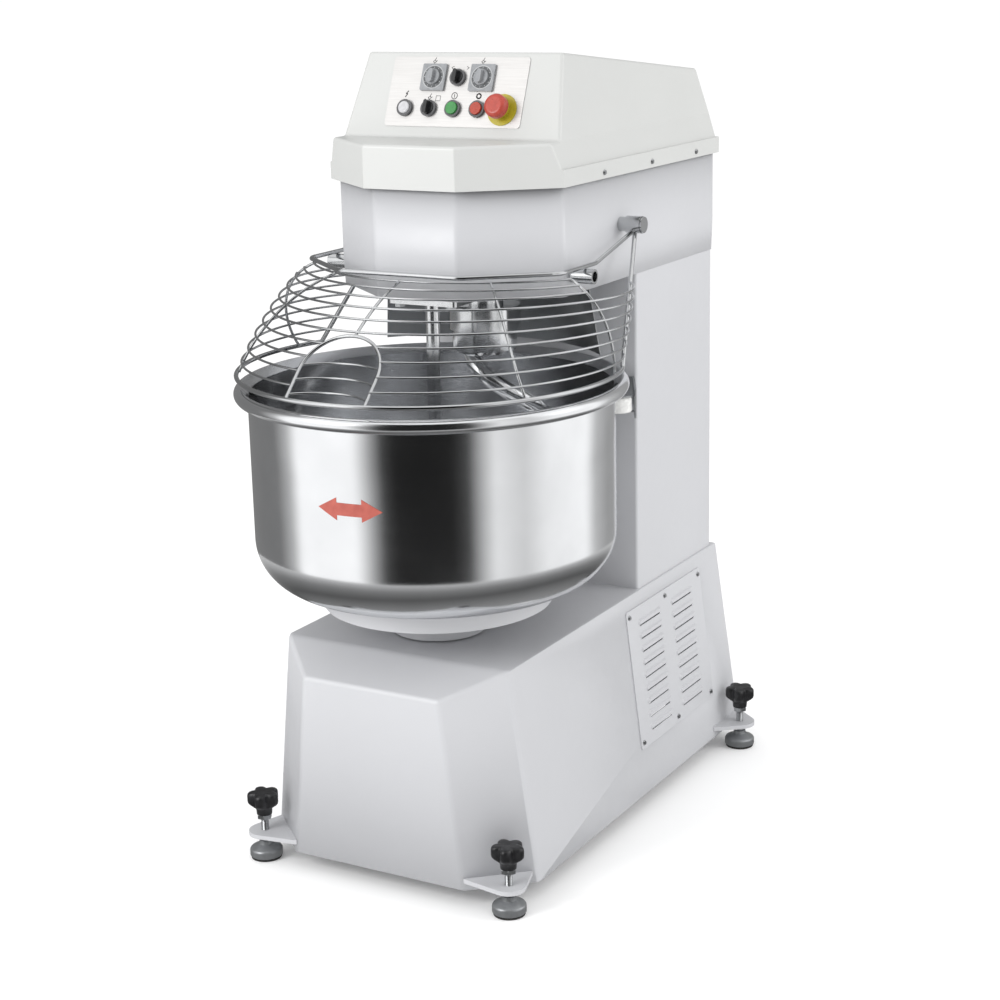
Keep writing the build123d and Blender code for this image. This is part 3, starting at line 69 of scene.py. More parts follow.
# The studio. A white paper floor under a bright white room, with one softbox before the left front
# corner and one behind the right side.
def new_material(name, colour, roughness, metallic=0.0):
    """A material with its shader; the colour is linear."""
    material = bpy.data.materials.new(name)
    material.use_nodes = True
    shader = material.node_tree.nodes["Principled BSDF"]
    shader.inputs["Base Color"].default_value = (*colour, 1)
    shader.inputs["Roughness"].default_value = roughness
    shader.inputs["Metallic"].default_value = metallic
    return material, material.node_tree, shader


def noise(tree, scale, detail=3.0, stretch=(1, 1, 1), shift=(0, 0, 0)):
    """Cloudy noise in metres over the surface, stretched along the axes."""
    coordinates = tree.nodes.new("ShaderNodeTexCoord")
    mapping = tree.nodes.new("ShaderNodeMapping")
    mapping.inputs["Scale"].default_value = stretch
    mapping.inputs["Location"].default_value = shift
    clouds = tree.nodes.new("ShaderNodeTexNoise")
    clouds.inputs["Scale"].default_value = scale
    clouds.inputs["Detail"].default_value = detail
    tree.links.new(coordinates.outputs["Object"], mapping.inputs["Vector"])
    tree.links.new(mapping.outputs["Vector"], clouds.inputs["Vector"])
    return clouds.outputs["Fac"]


def ramp(tree, source, stops):
    """Turns a value into a colour, through stops of (place, colour)."""
    band = tree.nodes.new("ShaderNodeValToRGB")
    points = band.color_ramp.elements
    points[0].position, points[0].color = stops[0][0], (*stops[0][1], 1)
    points[1].position, points[1].color = stops[-1][0], (*stops[-1][1], 1)
    for place, colour in stops[1:-1]:
        points.new(place).color = (*colour, 1)
    tree.links.new(source, band.inputs["Fac"])
    return band.outputs["Color"]


def spread(tree, source, low, high):
    """Turns a value from 0 to 1 into one from low to high."""
    span = tree.nodes.new("ShaderNodeMapRange")
    span.inputs["To Min"].default_value = low
    span.inputs["To Max"].default_value = high
    tree.links.new(source, span.inputs["Value"])
    return span.outputs["Result"]


def bump(tree, shader, source, strength, depth):
    """Raises the surface by the value, depth metres at full strength."""
    relief = tree.nodes.new("ShaderNodeBump")
    relief.inputs["Strength"].default_value = strength
    relief.inputs["Distance"].default_value = depth
    tree.links.new(source, relief.inputs["Height"])
    tree.links.new(relief.outputs["Normal"], shader.inputs["Normal"])


def sheet_mesh(name, points, faces):
    """A mesh object from points in metres and faces."""
    mesh = bpy.data.meshes.new(name)
    mesh.from_pydata([tuple(point) for point in points], [], faces)
    mesh.update()
    made = bpy.data.objects.new(name, mesh)
    bpy.context.scene.collection.objects.link(made)
    return made


floor_paper, _, floor_shader = new_material("floor_paper", (0.92, 0.92, 0.92), 0.9)
floor_shader.inputs["Specular IOR Level"].default_value = 0.0
floor_shader.inputs["Emission Color"].default_value = (1, 1, 1, 1)
floor_shader.inputs["Emission Strength"].default_value = 0.10
floor = sheet_mesh(
    "floor_paper", [(-30, -30, 0), (30, -30, 0), (30, 30, 0), (-30, 30, 0)], [(0, 1, 2, 3)])
floor.data.materials.append(floor_paper)

room = bpy.data.worlds.new("white_room")
room.use_nodes = True
room.node_tree.nodes["Background"].inputs["Color"].default_value = (1, 1, 1, 1)
room.node_tree.nodes["Background"].inputs["Strength"].default_value = 1.02
bpy.context.scene.world = room
bpy.context.scene.view_settings.view_transform = "Standard"


def softbox(name, place, aim, width, height, power):
    """A soft studio light at a place, facing a point."""
    light = bpy.data.lights.new(name, "AREA")
    light.shape = "RECTANGLE"
    light.size = width
    light.size_y = height
    light.energy = power
    lamp = bpy.data.objects.new(name, light)
    bpy.context.scene.collection.objects.link(lamp)
    lamp.location = place
    lamp.rotation_euler = (Vector(aim) - Vector(place)).to_track_quat("-Z", "Y").to_euler()
    return lamp


softbox("front_softbox", (-1.3, -3.0, 2.2), (0, 0, 0.7), 1.2, 1.4, 52)
softbox("side_softbox", (2.9, 0.9, 2.1), (0, 0, 0.7), 1.3, 1.5, 26)

# A wrap of paper with bright, grey and black stretches, and a grey ring under it. Only the polished
# steel mirrors them.
def mirror_card(name, points, faces, places, stops):
    """A card that only shiny surfaces see; each point has a place from 0 to 1 along the stops."""
    card = sheet_mesh(name, points, faces)
    along = card.data.uv_layers.new(name="along")
    for loop in card.data.loops:
        along.data[loop.index].uv = (places[loop.vertex_index], 0.5)
    material, tree, shader = new_material(name, (0, 0, 0), 1.0)
    shader.inputs["Specular IOR Level"].default_value = 0.0
    shader.inputs["Emission Strength"].default_value = 1.0
    coordinates = tree.nodes.new("ShaderNodeTexCoord")
    axes = tree.nodes.new("ShaderNodeSeparateXYZ")
    tree.links.new(coordinates.outputs["UV"], axes.inputs["Vector"])
    tree.links.new(
        ramp(tree, axes.outputs["X"], [(place, (shade, shade, shade)) for place, shade in stops]),
        shader.inputs["Emission Color"])
    card.data.materials.append(material)
    card.visible_camera = False
    card.visible_diffuse = False
    card.visible_shadow = False


card_steps = 144
wrap_radius = 1.7
wrap_points, wrap_faces, wrap_places = [], [], []
for step in range(card_steps + 1):
    bearing = math.radians(-180 + 360 * step / card_steps)
    for height in (0.004, 2.6):
        wrap_points.append((wrap_radius * math.sin(bearing), -wrap_radius * math.cos(bearing), height))
        wrap_places.append(step / card_steps)
for step in range(card_steps):
    wrap_faces.append((2 * step, 2 * step + 2, 2 * step + 3, 2 * step + 1))
wrap_stops = [(-180, 0.35), (-150, 0.22), (-66, 0.20), (-54, 0.5), (-46, 1.15), (-12, 1.15), (-3, 0.4),
              (3, 0.05), (9, 0.015), (37, 0.015), (45, 0.06), (52, 0.5), (59, 0.92), (76, 0.70),
              (92, 1.0), (126, 1.1), (138, 0.55), (158, 0.36), (180, 0.35)]
mirror_card("paper_wrap", wrap_points, wrap_faces, wrap_places,
            [((bearing + 180) / 360, shade) for bearing, shade in wrap_stops])
ring_points, ring_faces, ring_places = [], [], []
for step in range(card_steps):
    bearing = 2 * math.pi * step / card_steps
    for place, radius in ((0, 0.30), (1, wrap_radius)):
        ring_points.append((radius * math.cos(bearing), radius * math.sin(bearing), 0.002))
        ring_places.append(place)
for step in range(card_steps):
    after = (step + 1) % card_steps
    ring_faces.append((2 * step, 2 * step + 1, 2 * after + 1, 2 * after))
mirror_card("paper_ring", ring_points, ring_faces, ring_places,
            [(0, 0.30), (0.35, 0.10), (0.6, 0.22), (1, 0.6)])


# The base. One welded skirt of 3 mm steel sheet, powder coated white, open underneath. Its sides lean
# out, its nose slopes, and the folds are bent to a small radius.
powder_white = (0.545, 0.55, 0.57)


def powder_coat(name, colour):
    """Baked powder paint: fine orange peel, slow drifts of tone, a satin gloss."""
    material, tree, shader = new_material(name, colour, 0.42)
    drift = noise(tree, 3.0, 4.0)
    low = tuple(0.965 * part for part in colour)
    tree.links.new(ramp(tree, drift, [(0.35, low), (0.7, colour)]), shader.inputs["Base Color"])
    tree.links.new(spread(tree, noise(tree, 45.0, 5.0), 0.34, 0.52), shader.inputs["Roughness"])
    bump(tree, shader, noise(tree, 900.0, 2.0), 0.10, 0.0004)
    shader.inputs["Coat Weight"].default_value = 0.15
    shader.inputs["Coat Roughness"].default_value = 0.25
    return material


def smooth(piece, angle=35):
    """Smooth shading, with the folds kept sharp."""
    piece.data.shade_smooth()
    piece.data.set_sharp_from_angle(angle=math.radians(angle))


def finish_nodes(material, *names):
    """Gives CAD nodes their finish."""
    for name in names:
        nodes[name].data.materials.clear()
        nodes[name].data.materials.append(material)


machine_paint = powder_coat("machine_paint", powder_white)
finish_nodes(machine_paint, "foot_brackets", "column_housing", "rear_cover", "head_underside_plate",
             "vent_panels", "head_housing")

base_low, base_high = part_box("base_housing")
bowl_low, bowl_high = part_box("mixing_bowl")
bowl_middle = Vector((0, (bowl_low.y + bowl_high.y) / 2, 0))
side_foot, side_top = base_high.x, base_high.x - 0.047
back_foot, back_top = base_high.y, base_high.y - 0.017
toe_half, toe_y = 0.176, bowl_middle.y - 0.232
corner_y = bowl_middle.y - 0.142
ridge_half, ridge_y, ridge_z = 0.138, bowl_middle.y - 0.236, base_high.z - 0.041
shoulder_y = bowl_middle.y - 0.150
vent_low, vent_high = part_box("vent_panels")
opening_margin = 0.020
base_points, base_faces = [], []
for side in (1, -1):
    lean = (side_foot - side_top) / (base_high.z - base_low.z)
    window = [
        (vent_low.y + opening_margin, vent_low.z + opening_margin),
        (vent_high.y - opening_margin, vent_low.z + opening_margin),
        (vent_high.y - opening_margin, vent_high.z - opening_margin),
        (vent_low.y + opening_margin, vent_high.z - opening_margin),
    ]
    base_points += [
        (side * toe_half, toe_y, base_low.z),
        (side * side_foot, corner_y, base_low.z),
        (side * side_foot, back_foot, base_low.z),
        (side * side_top, back_top, base_high.z),
        (side * side_top, shoulder_y, base_high.z),
        (side * ridge_half, ridge_y, ridge_z),
    ] + [(side * (side_foot - lean * (z - base_low.z)), y, z) for y, z in window]
for start in (0, 10):
    faces = [(0, 1, 4, 5), (1, 2, 7, 6), (2, 3, 8, 7), (3, 4, 9, 8), (4, 1, 6, 9)]
    for face in faces:
        row = [start + index for index in face]
        base_faces.append(row if start == 0 else row[::-1])
base_faces += [(10, 0, 5, 15), (15, 5, 4, 14), (14, 4, 3, 13), (2, 12, 13, 3)]
base = sheet_mesh("base_skirt", base_points, base_faces)
base_fold = base.modifiers.new("folds", "BEVEL")
base_fold.width = 0.007
base_fold.segments = 4
base_fold.limit_method = "ANGLE"
base_fold.angle_limit = math.radians(12)
base_fold.harden_normals = True
base_wall = base.modifiers.new("sheet", "SOLIDIFY")
base_wall.thickness = 0.003
base_wall.offset = -1
smooth(base, 80)
base.data.materials.append(machine_paint)
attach(base, "frame")
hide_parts("base_housing")


# The levelling feet. A pressed steel cup on a black rubber sole, a zinc-plated 14 mm stem with a nut
# 24 mm across its flats, and a five-lobed moulded knob pressed on the stem's top.
def lathe(name, profile, centre, steps=96):
    """Turns a profile of (radius, height) about an upright axis, closed where it meets the axis."""
    points, faces, rings = [], [], []
    for radius, height in profile:
        if radius < 1e-7:
            rings.append([len(points)])
            points.append((centre[0], centre[1], height))
            continue
        rings.append(list(range(len(points), len(points) + steps)))
        for step in range(steps):
            bearing = 2 * math.pi * step / steps
            points.append((
                centre[0] + radius * math.cos(bearing), centre[1] + radius * math.sin(bearing), height))
    for low, high in zip(rings, rings[1:]):
        for step in range(steps):
            after = (step + 1) % steps
            quad = [low[step % len(low)], low[after % len(low)],
                    high[after % len(high)], high[step % len(high)]]
            face = list(dict.fromkeys(quad))
            if len(face) > 2:
                faces.append(face)
    made = sheet_mesh(name, points, faces)
    tidy = bmesh.new()
    tidy.from_mesh(made.data)
    bmesh.ops.recalc_face_normals(tidy, faces=tidy.faces)
    tidy.to_mesh(made.data)
    tidy.free()
    smooth(made, 32)
    return made


def arc(centre, radius, start, end, steps):
    """Points of an arc of a profile, from one angle to another, in degrees."""
    return [
        (centre[0] + radius * math.cos(math.radians(start + (end - start) * i / steps)),
         centre[1] + radius * math.sin(math.radians(start + (end - start) * i / steps)))
        for i in range(steps + 1)
    ]


cup_grey, cup_tree, cup_shader = new_material("cup_lacquer", (0.30, 0.31, 0.32), 0.34, 0.7)
cup_wear = noise(cup_tree, 120.0, 5.0)
cup_tree.links.new(
    ramp(cup_tree, cup_wear, [(0.3, (0.28, 0.29, 0.30)), (0.8, (0.33, 0.34, 0.35))]),
    cup_shader.inputs["Base Color"])
cup_tree.links.new(spread(cup_tree, noise(cup_tree, 60.0, 4.0), 0.28, 0.5), cup_shader.inputs["Roughness"])
bump(cup_tree, cup_shader, noise(cup_tree, 900.0, 2.0), 0.06, 0.0002)

sole_rubber, sole_tree, sole_shader = new_material("sole_rubber", (0.018, 0.018, 0.019), 0.75)
sole_tree.links.new(
    ramp(sole_tree, noise(sole_tree, 150.0, 5.0),
         [(0.4, (0.012, 0.012, 0.013)), (0.7, (0.05, 0.048, 0.045))]),
    sole_shader.inputs["Base Color"])
bump(sole_tree, sole_shader, noise(sole_tree, 1200.0, 2.0), 0.4, 0.0004)

zinc, zinc_tree, zinc_shader = new_material("zinc_plate", (0.46, 0.47, 0.48), 0.3, 1.0)
zinc_tree.links.new(
    ramp(zinc_tree, noise(zinc_tree, 200.0, 4.0), [(0.35, (0.40, 0.41, 0.42)), (0.7, (0.52, 0.53, 0.54))]),
    zinc_shader.inputs["Base Color"])
zinc_tree.links.new(
    spread(zinc_tree, noise(zinc_tree, 400.0, 4.0), 0.2, 0.42), zinc_shader.inputs["Roughness"])
finish_nodes(zinc, "flange_bolts", "housing_screws")

knob_black, knob_tree, knob_shader = new_material("moulded_black", (0.012, 0.012, 0.013), 0.32)
knob_tree.links.new(
    ramp(knob_tree, noise(knob_tree, 90.0, 4.0),
         [(0.4, (0.010, 0.010, 0.011)), (0.75, (0.022, 0.022, 0.024))]),
    knob_shader.inputs["Base Color"])
knob_tree.links.new(
    spread(knob_tree, noise(knob_tree, 250.0, 4.0), 0.22, 0.42), knob_shader.inputs["Roughness"])
bump(knob_tree, knob_shader, noise(knob_tree, 1500.0, 2.0), 0.12, 0.0003)


def star_knob(name, centre, low, high):
    """A moulded knob: a round hub that swells to five rounded lobes with a soft edge."""
    steps = 120
    lobes = 5
    levels = [(0.0, 0.0140, 0.0), (0.26, 0.0150, 0.0), (0.36, 0.0205, 0.10), (0.44, 0.0236, 0.55),
              (0.52, 0.0252, 0.92), (0.60, 0.0258, 1.0), (0.84, 0.0258, 1.0), (0.92, 0.0250, 0.98),
              (0.975, 0.0228, 0.90), (1.0, 0.0190, 0.75), (1.0, 0.0125, 0.30), (0.985, 0.0, 0.0)]
    points, faces = [], []
    for share, radius, star in levels:
        for step in range(steps):
            bearing = 2 * math.pi * step / steps
            wave = 0.5 + 0.5 * math.cos(lobes * bearing)
            reach = radius + star * (0.0040 * wave ** 0.8 - 0.0052 * (1 - wave) ** 2)
            reach = max(reach, 0.0)
            points.append((centre[0] + reach * math.cos(bearing), centre[1] + reach * math.sin(bearing),
                           low + (high - low) * share))
    for level in range(len(levels) - 1):
        for step in range(steps):
            after = (step + 1) % steps
            faces.append((level * steps + step, level * steps + after,
                          (level + 1) * steps + after, (level + 1) * steps + step))
    faces.append(tuple(range(steps))[::-1])
    made = sheet_mesh(name, points, faces)
    smooth(made, 50)
    made.data.materials.append(knob_black)
    return made


sole_height = 0.005
for corner in ("front_right", "front_left", "rear_right", "rear_left"):
    pad_low, pad_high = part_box("levelling_pad_" + corner)
    middle = ((pad_low.x + pad_high.x) / 2, (pad_low.y + pad_high.y) / 2)
    radius = (pad_high.x - pad_low.x) / 2
    cup = lathe("foot_cup_" + corner, [
        (0, sole_height), (radius - 0.001, sole_height),
        *arc((radius - 0.0015, sole_height + 0.0015), 0.0015, -60, 0, 4),
        (radius, 0.0135), *arc((radius - 0.006, 0.0150), 0.006, 0, 60, 6),
        (radius * 0.62, 0.0242), (radius * 0.44, 0.0275), (0.0125, 0.0300), (0.0120, 0.0335),
        (0.0112, 0.0340), (0.0075, 0.0340), (0.0074, 0.0210), (0, 0.0205)], middle)
    cup.data.materials.append(cup_grey)
    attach(cup, "foot_" + corner)
    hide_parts("levelling_pad_" + corner)
    sole = lathe("foot_sole_" + corner, [
        (0, 0), (radius - 0.0032, 0), *arc((radius - 0.0032, 0.0012), 0.0012, -90, 0, 4),
        (radius - 0.0020, sole_height), (0, sole_height)], middle)
    sole.data.materials.append(sole_rubber)
    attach(sole, "foot_" + corner)
    stem_low, stem_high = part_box("levelling_screw_" + corner)
    pitch, stem_radius, steps = 0.0022, 0.0070, 24
    turns = int((stem_high.z - stem_low.z) / pitch)
    thread = [(0, stem_low.z)]
    for number in range(turns):
        height = stem_low.z + number * pitch
        thread += [(stem_radius - 0.0008, height + 0.0002), (stem_radius, height + pitch / 2)]
    thread += [(stem_radius - 0.0008, stem_high.z - 0.0002), (0, stem_high.z)]
    stem = lathe("foot_stem_" + corner, thread, middle, 48)
    stem.data.materials.append(zinc)
    nut_low, nut_height, nut_radius = stem_low.z + 0.0556, 0.009, 0.01386
    nut_points, nut_faces = [], []
    for height, reach in ((nut_low, 0.93), (nut_low + 0.0012, 1), (nut_low + nut_height - 0.0012, 1),
                          (nut_low + nut_height, 0.93)):
        for step in range(6):
            bearing = math.radians(60 * step)
            nut_points.append((middle[0] + nut_radius * reach * math.cos(bearing),
                               middle[1] + nut_radius * reach * math.sin(bearing), height))
    for level in range(3):
        for step in range(6):
            after = (step + 1) % 6
            nut_faces.append((level * 6 + step, level * 6 + after,
                              level * 6 + 6 + after, level * 6 + 6 + step))
    nut_faces += [(5, 4, 3, 2, 1, 0), (18, 19, 20, 21, 22, 23)]
    nut = sheet_mesh("foot_nut_" + corner, nut_points, nut_faces)
    nut.data.materials.append(zinc)
    knob_low, knob_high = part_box("star_knob_" + corner)
    knob = star_knob("foot_knob_" + corner, middle, knob_low.z, knob_high.z)
    for piece, node, slot in ((stem, "levelling_screw_", "zinc_steel"), (nut, None, "zinc_steel"),
                              (knob, "star_knob_", "black_plastic")):
        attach(piece, "adjuster_" + corner)
        if node:
            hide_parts(node + corner)


# The head. A box of folded sheet with chamfered front corners, its bottom strip folded in a little,
# carried by the column; both have the machine's white paint.
head_low, head_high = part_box("head_housing")
lead_in = 0.0022
fold_z = head_low.z + 0.058
front_half = 0.082
chamfer_run = (head_high.x - front_half) * 0.8
head_points, head_faces = [], []
for height, inset in ((head_low.z, lead_in), (fold_z, 0.0), (head_high.z, 0.0)):
    half, front, nose = head_high.x - inset, head_low.y + inset, front_half - inset / 2
    head_points += [
        (half, head_high.y, height), (half, head_low.y + chamfer_run, height), (nose, front, height),
        (-nose, front, height), (-half, head_low.y + chamfer_run, height), (-half, head_high.y, height)]
for level in (0, 6):
    for step in range(6):
        after = (step + 1) % 6
        head_faces.append((level + after, level + step, level + 6 + step, level + 6 + after))
head = sheet_mesh("head_box", head_points, head_faces)
head_fold = head.modifiers.new("folds", "BEVEL")
head_fold.width = 0.006
head_fold.segments = 4
head_fold.limit_method = "ANGLE"
head_fold.angle_limit = math.radians(20)
head_wall = head.modifiers.new("sheet", "SOLIDIFY")
head_wall.thickness = 0.003
head_wall.offset = -1
smooth(head, 80)
head.data.materials.append(machine_paint)
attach(head, "frame")
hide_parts("head_housing")

# The cable gland low on the rear cover is moulded black nylon.
finish_nodes(knob_black, "cable_gland")


# The top cover. A welded sheet hood in a slightly warmer white, its lip standing over the head, held
# by pan-head screws along the lip.
cover_paint = powder_coat("cover_paint", (0.565, 0.572, 0.56))
finish_nodes(cover_paint, "top_cover")


# The control plate. Brushed stainless sheet riveted to the leaning face, with black printed signs for
# power, tool, bowl, start and stop.
face_foot = Vector((0, -0.113, 1.286))
slope = Vector((0, 0.058, 0.144)).normalized()
outward = Vector((0, -0.144, 0.058)).normalized()


def on_face(x, up, out=0.0):
    """A point of the control face in metres, from millimetres across, up the slope and out of it."""
    return Vector((x / 1000, 0, 0)) + face_foot + slope * (up / 1000) + outward * (out / 1000)


plate_steel, plate_tree, plate_shader = new_material("plate_steel", (0.60, 0.59, 0.58), 0.42, 0.4)
grain = noise(plate_tree, 900.0, 3.0, stretch=(0.02, 1, 1))
plate_tree.links.new(
    ramp(plate_tree, grain, [(0.3, (0.55, 0.54, 0.53)), (0.7, (0.62, 0.61, 0.60))]),
    plate_shader.inputs["Base Color"])
plate_tree.links.new(spread(plate_tree, grain, 0.28, 0.46), plate_shader.inputs["Roughness"])
bump(plate_tree, plate_shader, grain, 0.08, 0.0002)
finish_nodes(plate_steel, "control_plate")

sign_ink, sign_tree, sign_shader = new_material("sign_ink", (0.02, 0.02, 0.02), 0.5)
sign_tree.links.new(
    ramp(sign_tree, noise(sign_tree, 600.0, 3.0), [(0.3, (0.015, 0.015, 0.015)), (0.8, (0.06, 0.06, 0.06))]),
    sign_shader.inputs["Base Color"])


def sign(name, centre, strokes, width=1.1):
    """Printed strokes round a centre on the plate; each stroke is a run of points in millimetres."""
    points, faces = [], []
    for stroke in strokes:
        for (ax, ay), (bx, by) in zip(stroke, stroke[1:]):
            run = math.hypot(bx - ax, by - ay)
            nx, ny = -(by - ay) / run * width / 2, (bx - ax) / run * width / 2
            ex, ey = (bx - ax) / run * width / 4, (by - ay) / run * width / 4
            first = len(points)
            for x, y in ((ax + nx - ex, ay + ny - ey), (ax - nx - ex, ay - ny - ey),
                         (bx - nx + ex, by - ny + ey), (bx + nx + ex, by + ny + ey)):
                points.append(on_face(centre[0] + x, centre[1] + y, 1.5 + 0.12))
            faces.append((first, first + 1, first + 2, first + 3))
    made = sheet_mesh(name, points, faces)
    made.data.materials.append(sign_ink)
    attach(made, "frame")


def round_stroke(radius, start=0, end=360, steps=28):
    """A run of points on a circle, in degrees."""
    return [(radius * math.cos(math.radians(start + (end - start) * i / steps)),
             radius * math.sin(math.radians(start + (end - start) * i / steps))) for i in range(steps + 1)]


tool_stroke = [[(2.5, 6), (0.5, 1.5), (-2.8, -1.0)], [(-2.8, -1.0), (0, -4.2), (3.2, -1.2), (0.5, 1.5)],
               [(3.2, -1.2), (5.0, 0.4)]]
sign("sign_power", (-100, 78), [[(2.6, 5.5), (-1.6, 0.6), (1.4, 0.2), (-2.4, -5.5)]], 1.9)
sign("sign_tool_left", (-54, 138.5), tool_stroke)
sign("sign_tool_right", (44, 138.5), tool_stroke)
sign("sign_tool_low", (-52, 73), tool_stroke)
sign("sign_bowl", (-34.5, 71), [[(-4.5, 4.5), (4.5, 4.5), (4.5, -4.5), (-4.5, -4.5), (-4.5, 4.5)]], 0.9)
sign("sign_start", (-2, 76), [round_stroke(5.6), [(0, -3.0), (0, 3.0)]], 1.3)
sign("sign_stop", (47, 76), [round_stroke(4.2)], 2.6)
sign("sign_forward", (16, 126), [[(-2.5, 3.0), (2.0, 0.4), (-2.0, -2.6)]], 1.0)
sign("sign_back", (-15, 126), [[(2.5, 3.0), (-2.0, 0.4), (2.0, -2.6)]], 1.0)


# The panel devices. Round buttons, lamp and selectors in ringed bezels, a mushroom stop on a yellow
# collar, and two square timers with grey dials.
def moulded(name, colour, roughness=0.28):
    """Moulded plastic: slight mottling and a fine texture."""
    material, tree, shader = new_material(name, colour, roughness)
    deep = tuple(0.82 * part for part in colour)
    tree.links.new(
        ramp(tree, noise(tree, 130.0, 4.0), [(0.35, deep), (0.7, colour)]), shader.inputs["Base Color"])
    tree.links.new(
        spread(tree, noise(tree, 320.0, 3.0), roughness - 0.08, roughness + 0.12),
        shader.inputs["Roughness"])
    bump(tree, shader, noise(tree, 1400.0, 2.0), 0.08, 0.0002)
    return material


green_cap = moulded("green_cap", (0.045, 0.27, 0.065))
red_cap = moulded("red_cap", (0.44, 0.05, 0.025))
stop_red = moulded("mushroom_red", (0.46, 0.06, 0.04))
collar_yellow = moulded("collar_yellow", (0.50, 0.42, 0.03))
lens_white = moulded("lens_white", (0.62, 0.62, 0.64), 0.2)
bezel_grey = moulded("bezel_grey", (0.10, 0.10, 0.105))
timer_grey = moulded("timer_grey", (0.30, 0.31, 0.325))
finish_nodes(green_cap, "start_button")
finish_nodes(red_cap, "stop_button")
finish_nodes(stop_red, "emergency_stop_button")
finish_nodes(collar_yellow, "emergency_stop_collar")
finish_nodes(lens_white, "lamp_lens")
finish_nodes(bezel_grey, "switch_bezels")
finish_nodes(timer_grey, "timer_housings", "timer_knob_left", "timer_knob_right")
finish_nodes(knob_black, "mode_selector", "direction_selector")


def ring_mark(name, centre, inner, outer, out, material, body):
    """A flat printed or moulded ring parallel to the control face, in millimetres."""
    points, faces = [], []
    steps = 64
    for step in range(steps):
        bearing = 2 * math.pi * step / steps
        for radius in (inner, outer):
            points.append(on_face(
                centre[0] + radius * math.cos(bearing), centre[1] + radius * math.sin(bearing), out))
    for step in range(steps):
        after = (step + 1) % steps
        faces.append((2 * step, 2 * step + 1, 2 * after + 1, 2 * after))
    made = sheet_mesh(name, points, faces)
    made.data.materials.append(material)
    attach(made, body)


dial_dark = moulded("dial_dark", (0.10, 0.105, 0.11), 0.4)
dial_light = moulded("dial_light", (0.46, 0.47, 0.48), 0.35)
timer_front = 1.5 + 5.0
for side, across in (("left", -49), ("right", 49)):
    ring_mark("timer_scale_" + side, (across, 108), 14.6, 19.6, timer_front + 0.15, dial_dark, "frame")
    ring_mark("timer_rim_" + side, (across, 108), 19.6, 21.4, timer_front + 0.2, dial_light, "frame")
    marks_points, marks_faces = [], []
    for number in range(12):
        bearing = math.radians(30 * number)
        ahead = Vector((math.cos(bearing), math.sin(bearing)))
        beside = Vector((-ahead.y, ahead.x)) * 0.5
        first = len(marks_points)
        for place in (ahead * 16.0 - beside, ahead * 18.6 - beside,
                      ahead * 18.6 + beside, ahead * 16.0 + beside):
            marks_points.append(on_face(across + place.x, 108 + place.y, timer_front + 0.3))
        marks_faces.append((first, first + 1, first + 2, first + 3))
    marks = sheet_mesh("timer_marks_" + side, marks_points, marks_faces)
    marks.data.materials.append(dial_light)
    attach(marks, "frame")


# The bowl. Spun 2.5 mm stainless steel with a rolled rim, polished to a mirror with faint rings left
# by the wheel, turning on a white painted dish.
def polished_steel(name, colour, low, high, rings, middle=(0, 0, 0)):
    """Mirror-polished stainless steel with level rings of polishing marks."""
    material, tree, shader = new_material(name, colour, low, 1.0)
    marks = noise(tree, 8.0, 6.0, stretch=(0.25, 0.25, rings))
    haze = noise(tree, 9.0, 4.0)
    mix = tree.nodes.new("ShaderNodeMath")
    mix.operation = "MULTIPLY"
    tree.links.new(marks, mix.inputs[0])
    tree.links.new(haze, mix.inputs[1])
    tree.links.new(spread(tree, mix.outputs["Value"], low, high), shader.inputs["Roughness"])
    dull = tuple(0.93 * part for part in colour)
    tree.links.new(ramp(tree, haze, [(0.35, dull), (0.65, colour)]), shader.inputs["Base Color"])
    return material


bowl_steel = polished_steel("bowl_steel", (0.84, 0.85, 0.865), 0.12, 0.24, 60)
bead = 0.0125
rim_radius = bowl_high.x
wall_radius = rim_radius - 0.024
wall = 0.0025
turn_in = 0.092
rim_z = bowl_high.z - bead
bowl_profile = [(0, bowl_low.z)]
bowl_profile += arc((wall_radius - turn_in, bowl_low.z + turn_in), turn_in, -90, 0, 28)
bowl_profile += [(wall_radius, rim_z - 0.10), (wall_radius, rim_z - 0.004)]
bowl_profile += arc((rim_radius - bead, rim_z), bead, 190, 450, 30)
bowl_profile += [(wall_radius - wall, rim_z - 0.002), (wall_radius - wall, rim_z - 0.10)]
bowl_profile += arc((wall_radius - turn_in, bowl_low.z + turn_in), turn_in - wall, 0, -90, 28)
bowl_profile += [(0, bowl_low.z + wall)]
bowl = lathe("bowl_spun", bowl_profile, bowl_middle, 256)
bowl.data.materials.append(bowl_steel)
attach(bowl, "bowl")
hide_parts("mixing_bowl")
finish_nodes(machine_paint, "bowl_support_dish")

# A printed double arrow on the bowl shows the two ways it can turn.
arrow_red, arrow_tree, arrow_shader = new_material("arrow_print", (0.42, 0.085, 0.06), 0.45)
arrow_tree.links.new(
    ramp(arrow_tree, noise(arrow_tree, 60.0, 4.0), [(0.35, (0.38, 0.075, 0.055)), (0.7, (0.48, 0.11, 0.08))]),
    arrow_shader.inputs["Base Color"])
arrow_middle, arrow_tip, arrow_neck = -84.4, 10.6, 4.1
arrow_z, arrow_half_head, arrow_half_shaft = 0.720, 0.0196, 0.0108
arrow_points, arrow_faces = [], []
head_run = arrow_tip - arrow_neck
right_half = [(arrow_neck * step / 10, arrow_half_shaft) for step in range(11)]
right_half += [(arrow_neck + head_run * step / 16, arrow_half_head * (1 - step / 16)) for step in range(17)]
arrow_outline = [(-swing, half) for swing, half in right_half[:0:-1]] + right_half
for swing, half in arrow_outline:
    bearing = math.radians(arrow_middle + swing)
    for way in (-1, 1):
        arrow_points.append((
            (wall_radius + 0.0004) * math.cos(bearing),
            bowl_middle.y + (wall_radius + 0.0004) * math.sin(bearing),
            arrow_z + way * half))
for step in range(len(arrow_outline) - 1):
    arrow_faces.append((2 * step, 2 * step + 2, 2 * step + 3, 2 * step + 1))
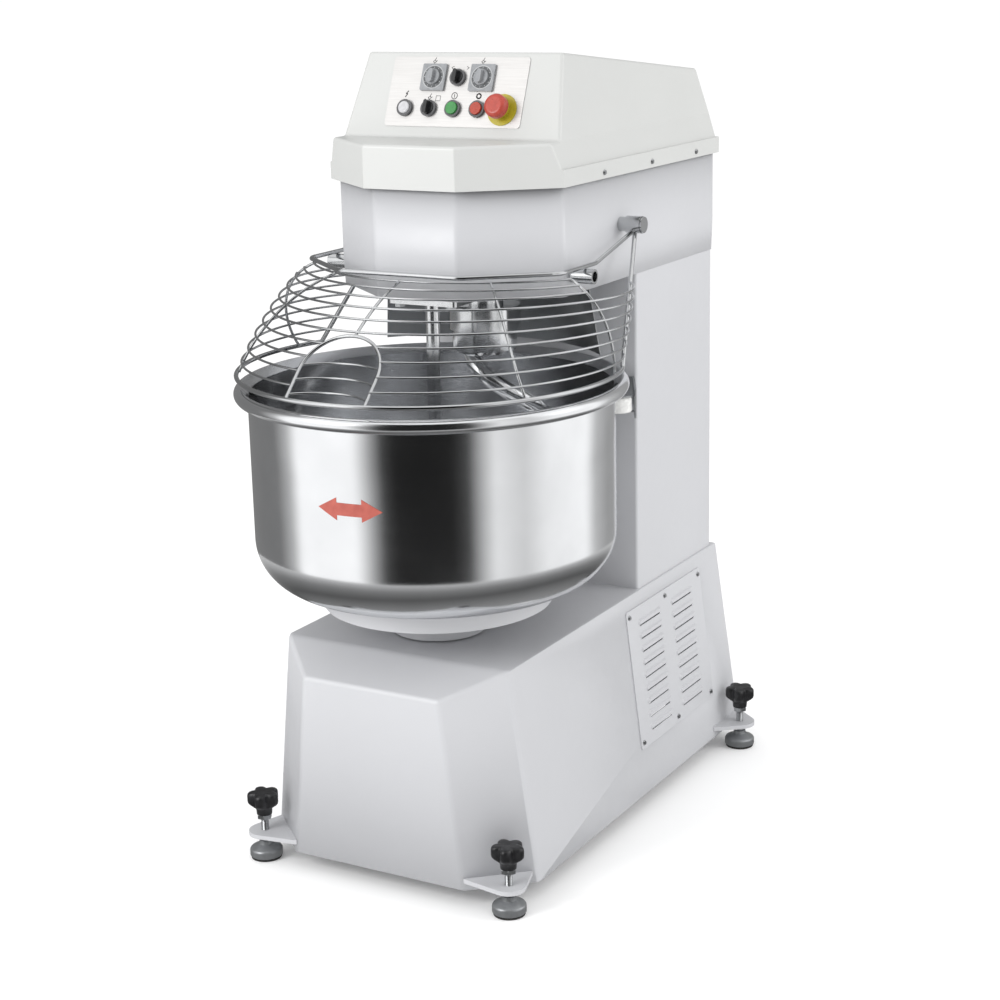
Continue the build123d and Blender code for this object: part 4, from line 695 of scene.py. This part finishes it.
arrow = sheet_mesh("arrow_print", arrow_points, arrow_faces)
arrow.data.materials.append(arrow_red)
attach(arrow, "bowl")


# The tool. A polished drum and kneading spiral under the head, the fixed breaker bar beside it, and a
# rolled stainless shield behind them.
tool_steel = polished_steel("tool_steel", (0.80, 0.81, 0.82), 0.12, 0.22, 40)
finish_nodes(tool_steel, "spiral_drum", "spiral_hook", "breaker_bar")
shield_steel = polished_steel("shield_steel", (0.42, 0.43, 0.44), 0.30, 0.40, 25)
finish_nodes(shield_steel, "splash_shield")


# The guard. Hoops, ribs and rods of bright wire welded at their crossings, swinging on turned pins at
# the sides of the head, with stub tubes that it rests on.
guard_wire = polished_steel("guard_wire", (0.62, 0.63, 0.64), 0.10, 0.22, 30)
finish_nodes(guard_wire, "guard_top_rod", "guard_hoops", "guard_ribs", "guard_bottom_ring", "guard_pins")


# The guide rollers. Turned white nylon on stainless brackets beside the bowl.
nylon = moulded("white_nylon", (0.82, 0.82, 0.80), 0.4)
finish_nodes(nylon, "guide_roller_left", "guide_roller_right")
finish_nodes(shield_steel, "roller_brackets")


# The drives inside. Cast pulleys and bearing housings, ribbed belts, enamelled motors and the grey
# contactor panel.
cast, cast_tree, cast_shader = new_material("cast_iron", (0.16, 0.165, 0.175), 0.5, 0.8)
cast_tree.links.new(
    ramp(cast_tree, noise(cast_tree, 80.0, 6.0), [(0.35, (0.11, 0.11, 0.12)), (0.7, (0.22, 0.22, 0.23))]),
    cast_shader.inputs["Base Color"])
bump(cast_tree, cast_shader, noise(cast_tree, 500.0, 4.0), 0.3, 0.0006)
finish_nodes(cast, "bowl_bearing_housing", "bowl_pulley", "spiral_pulley", "bowl_motor_pulley",
             "spiral_motor_pulley")
finish_nodes(machine_paint, "spiral_bearing_housing")
finish_nodes(sole_rubber, "bowl_drive_belt", "spiral_drive_belt")
enamel = moulded("motor_enamel", (0.06, 0.11, 0.16), 0.35)
finish_nodes(enamel, "bowl_motor", "spiral_motor")
finish_nodes(timer_grey, "contactor_panel")
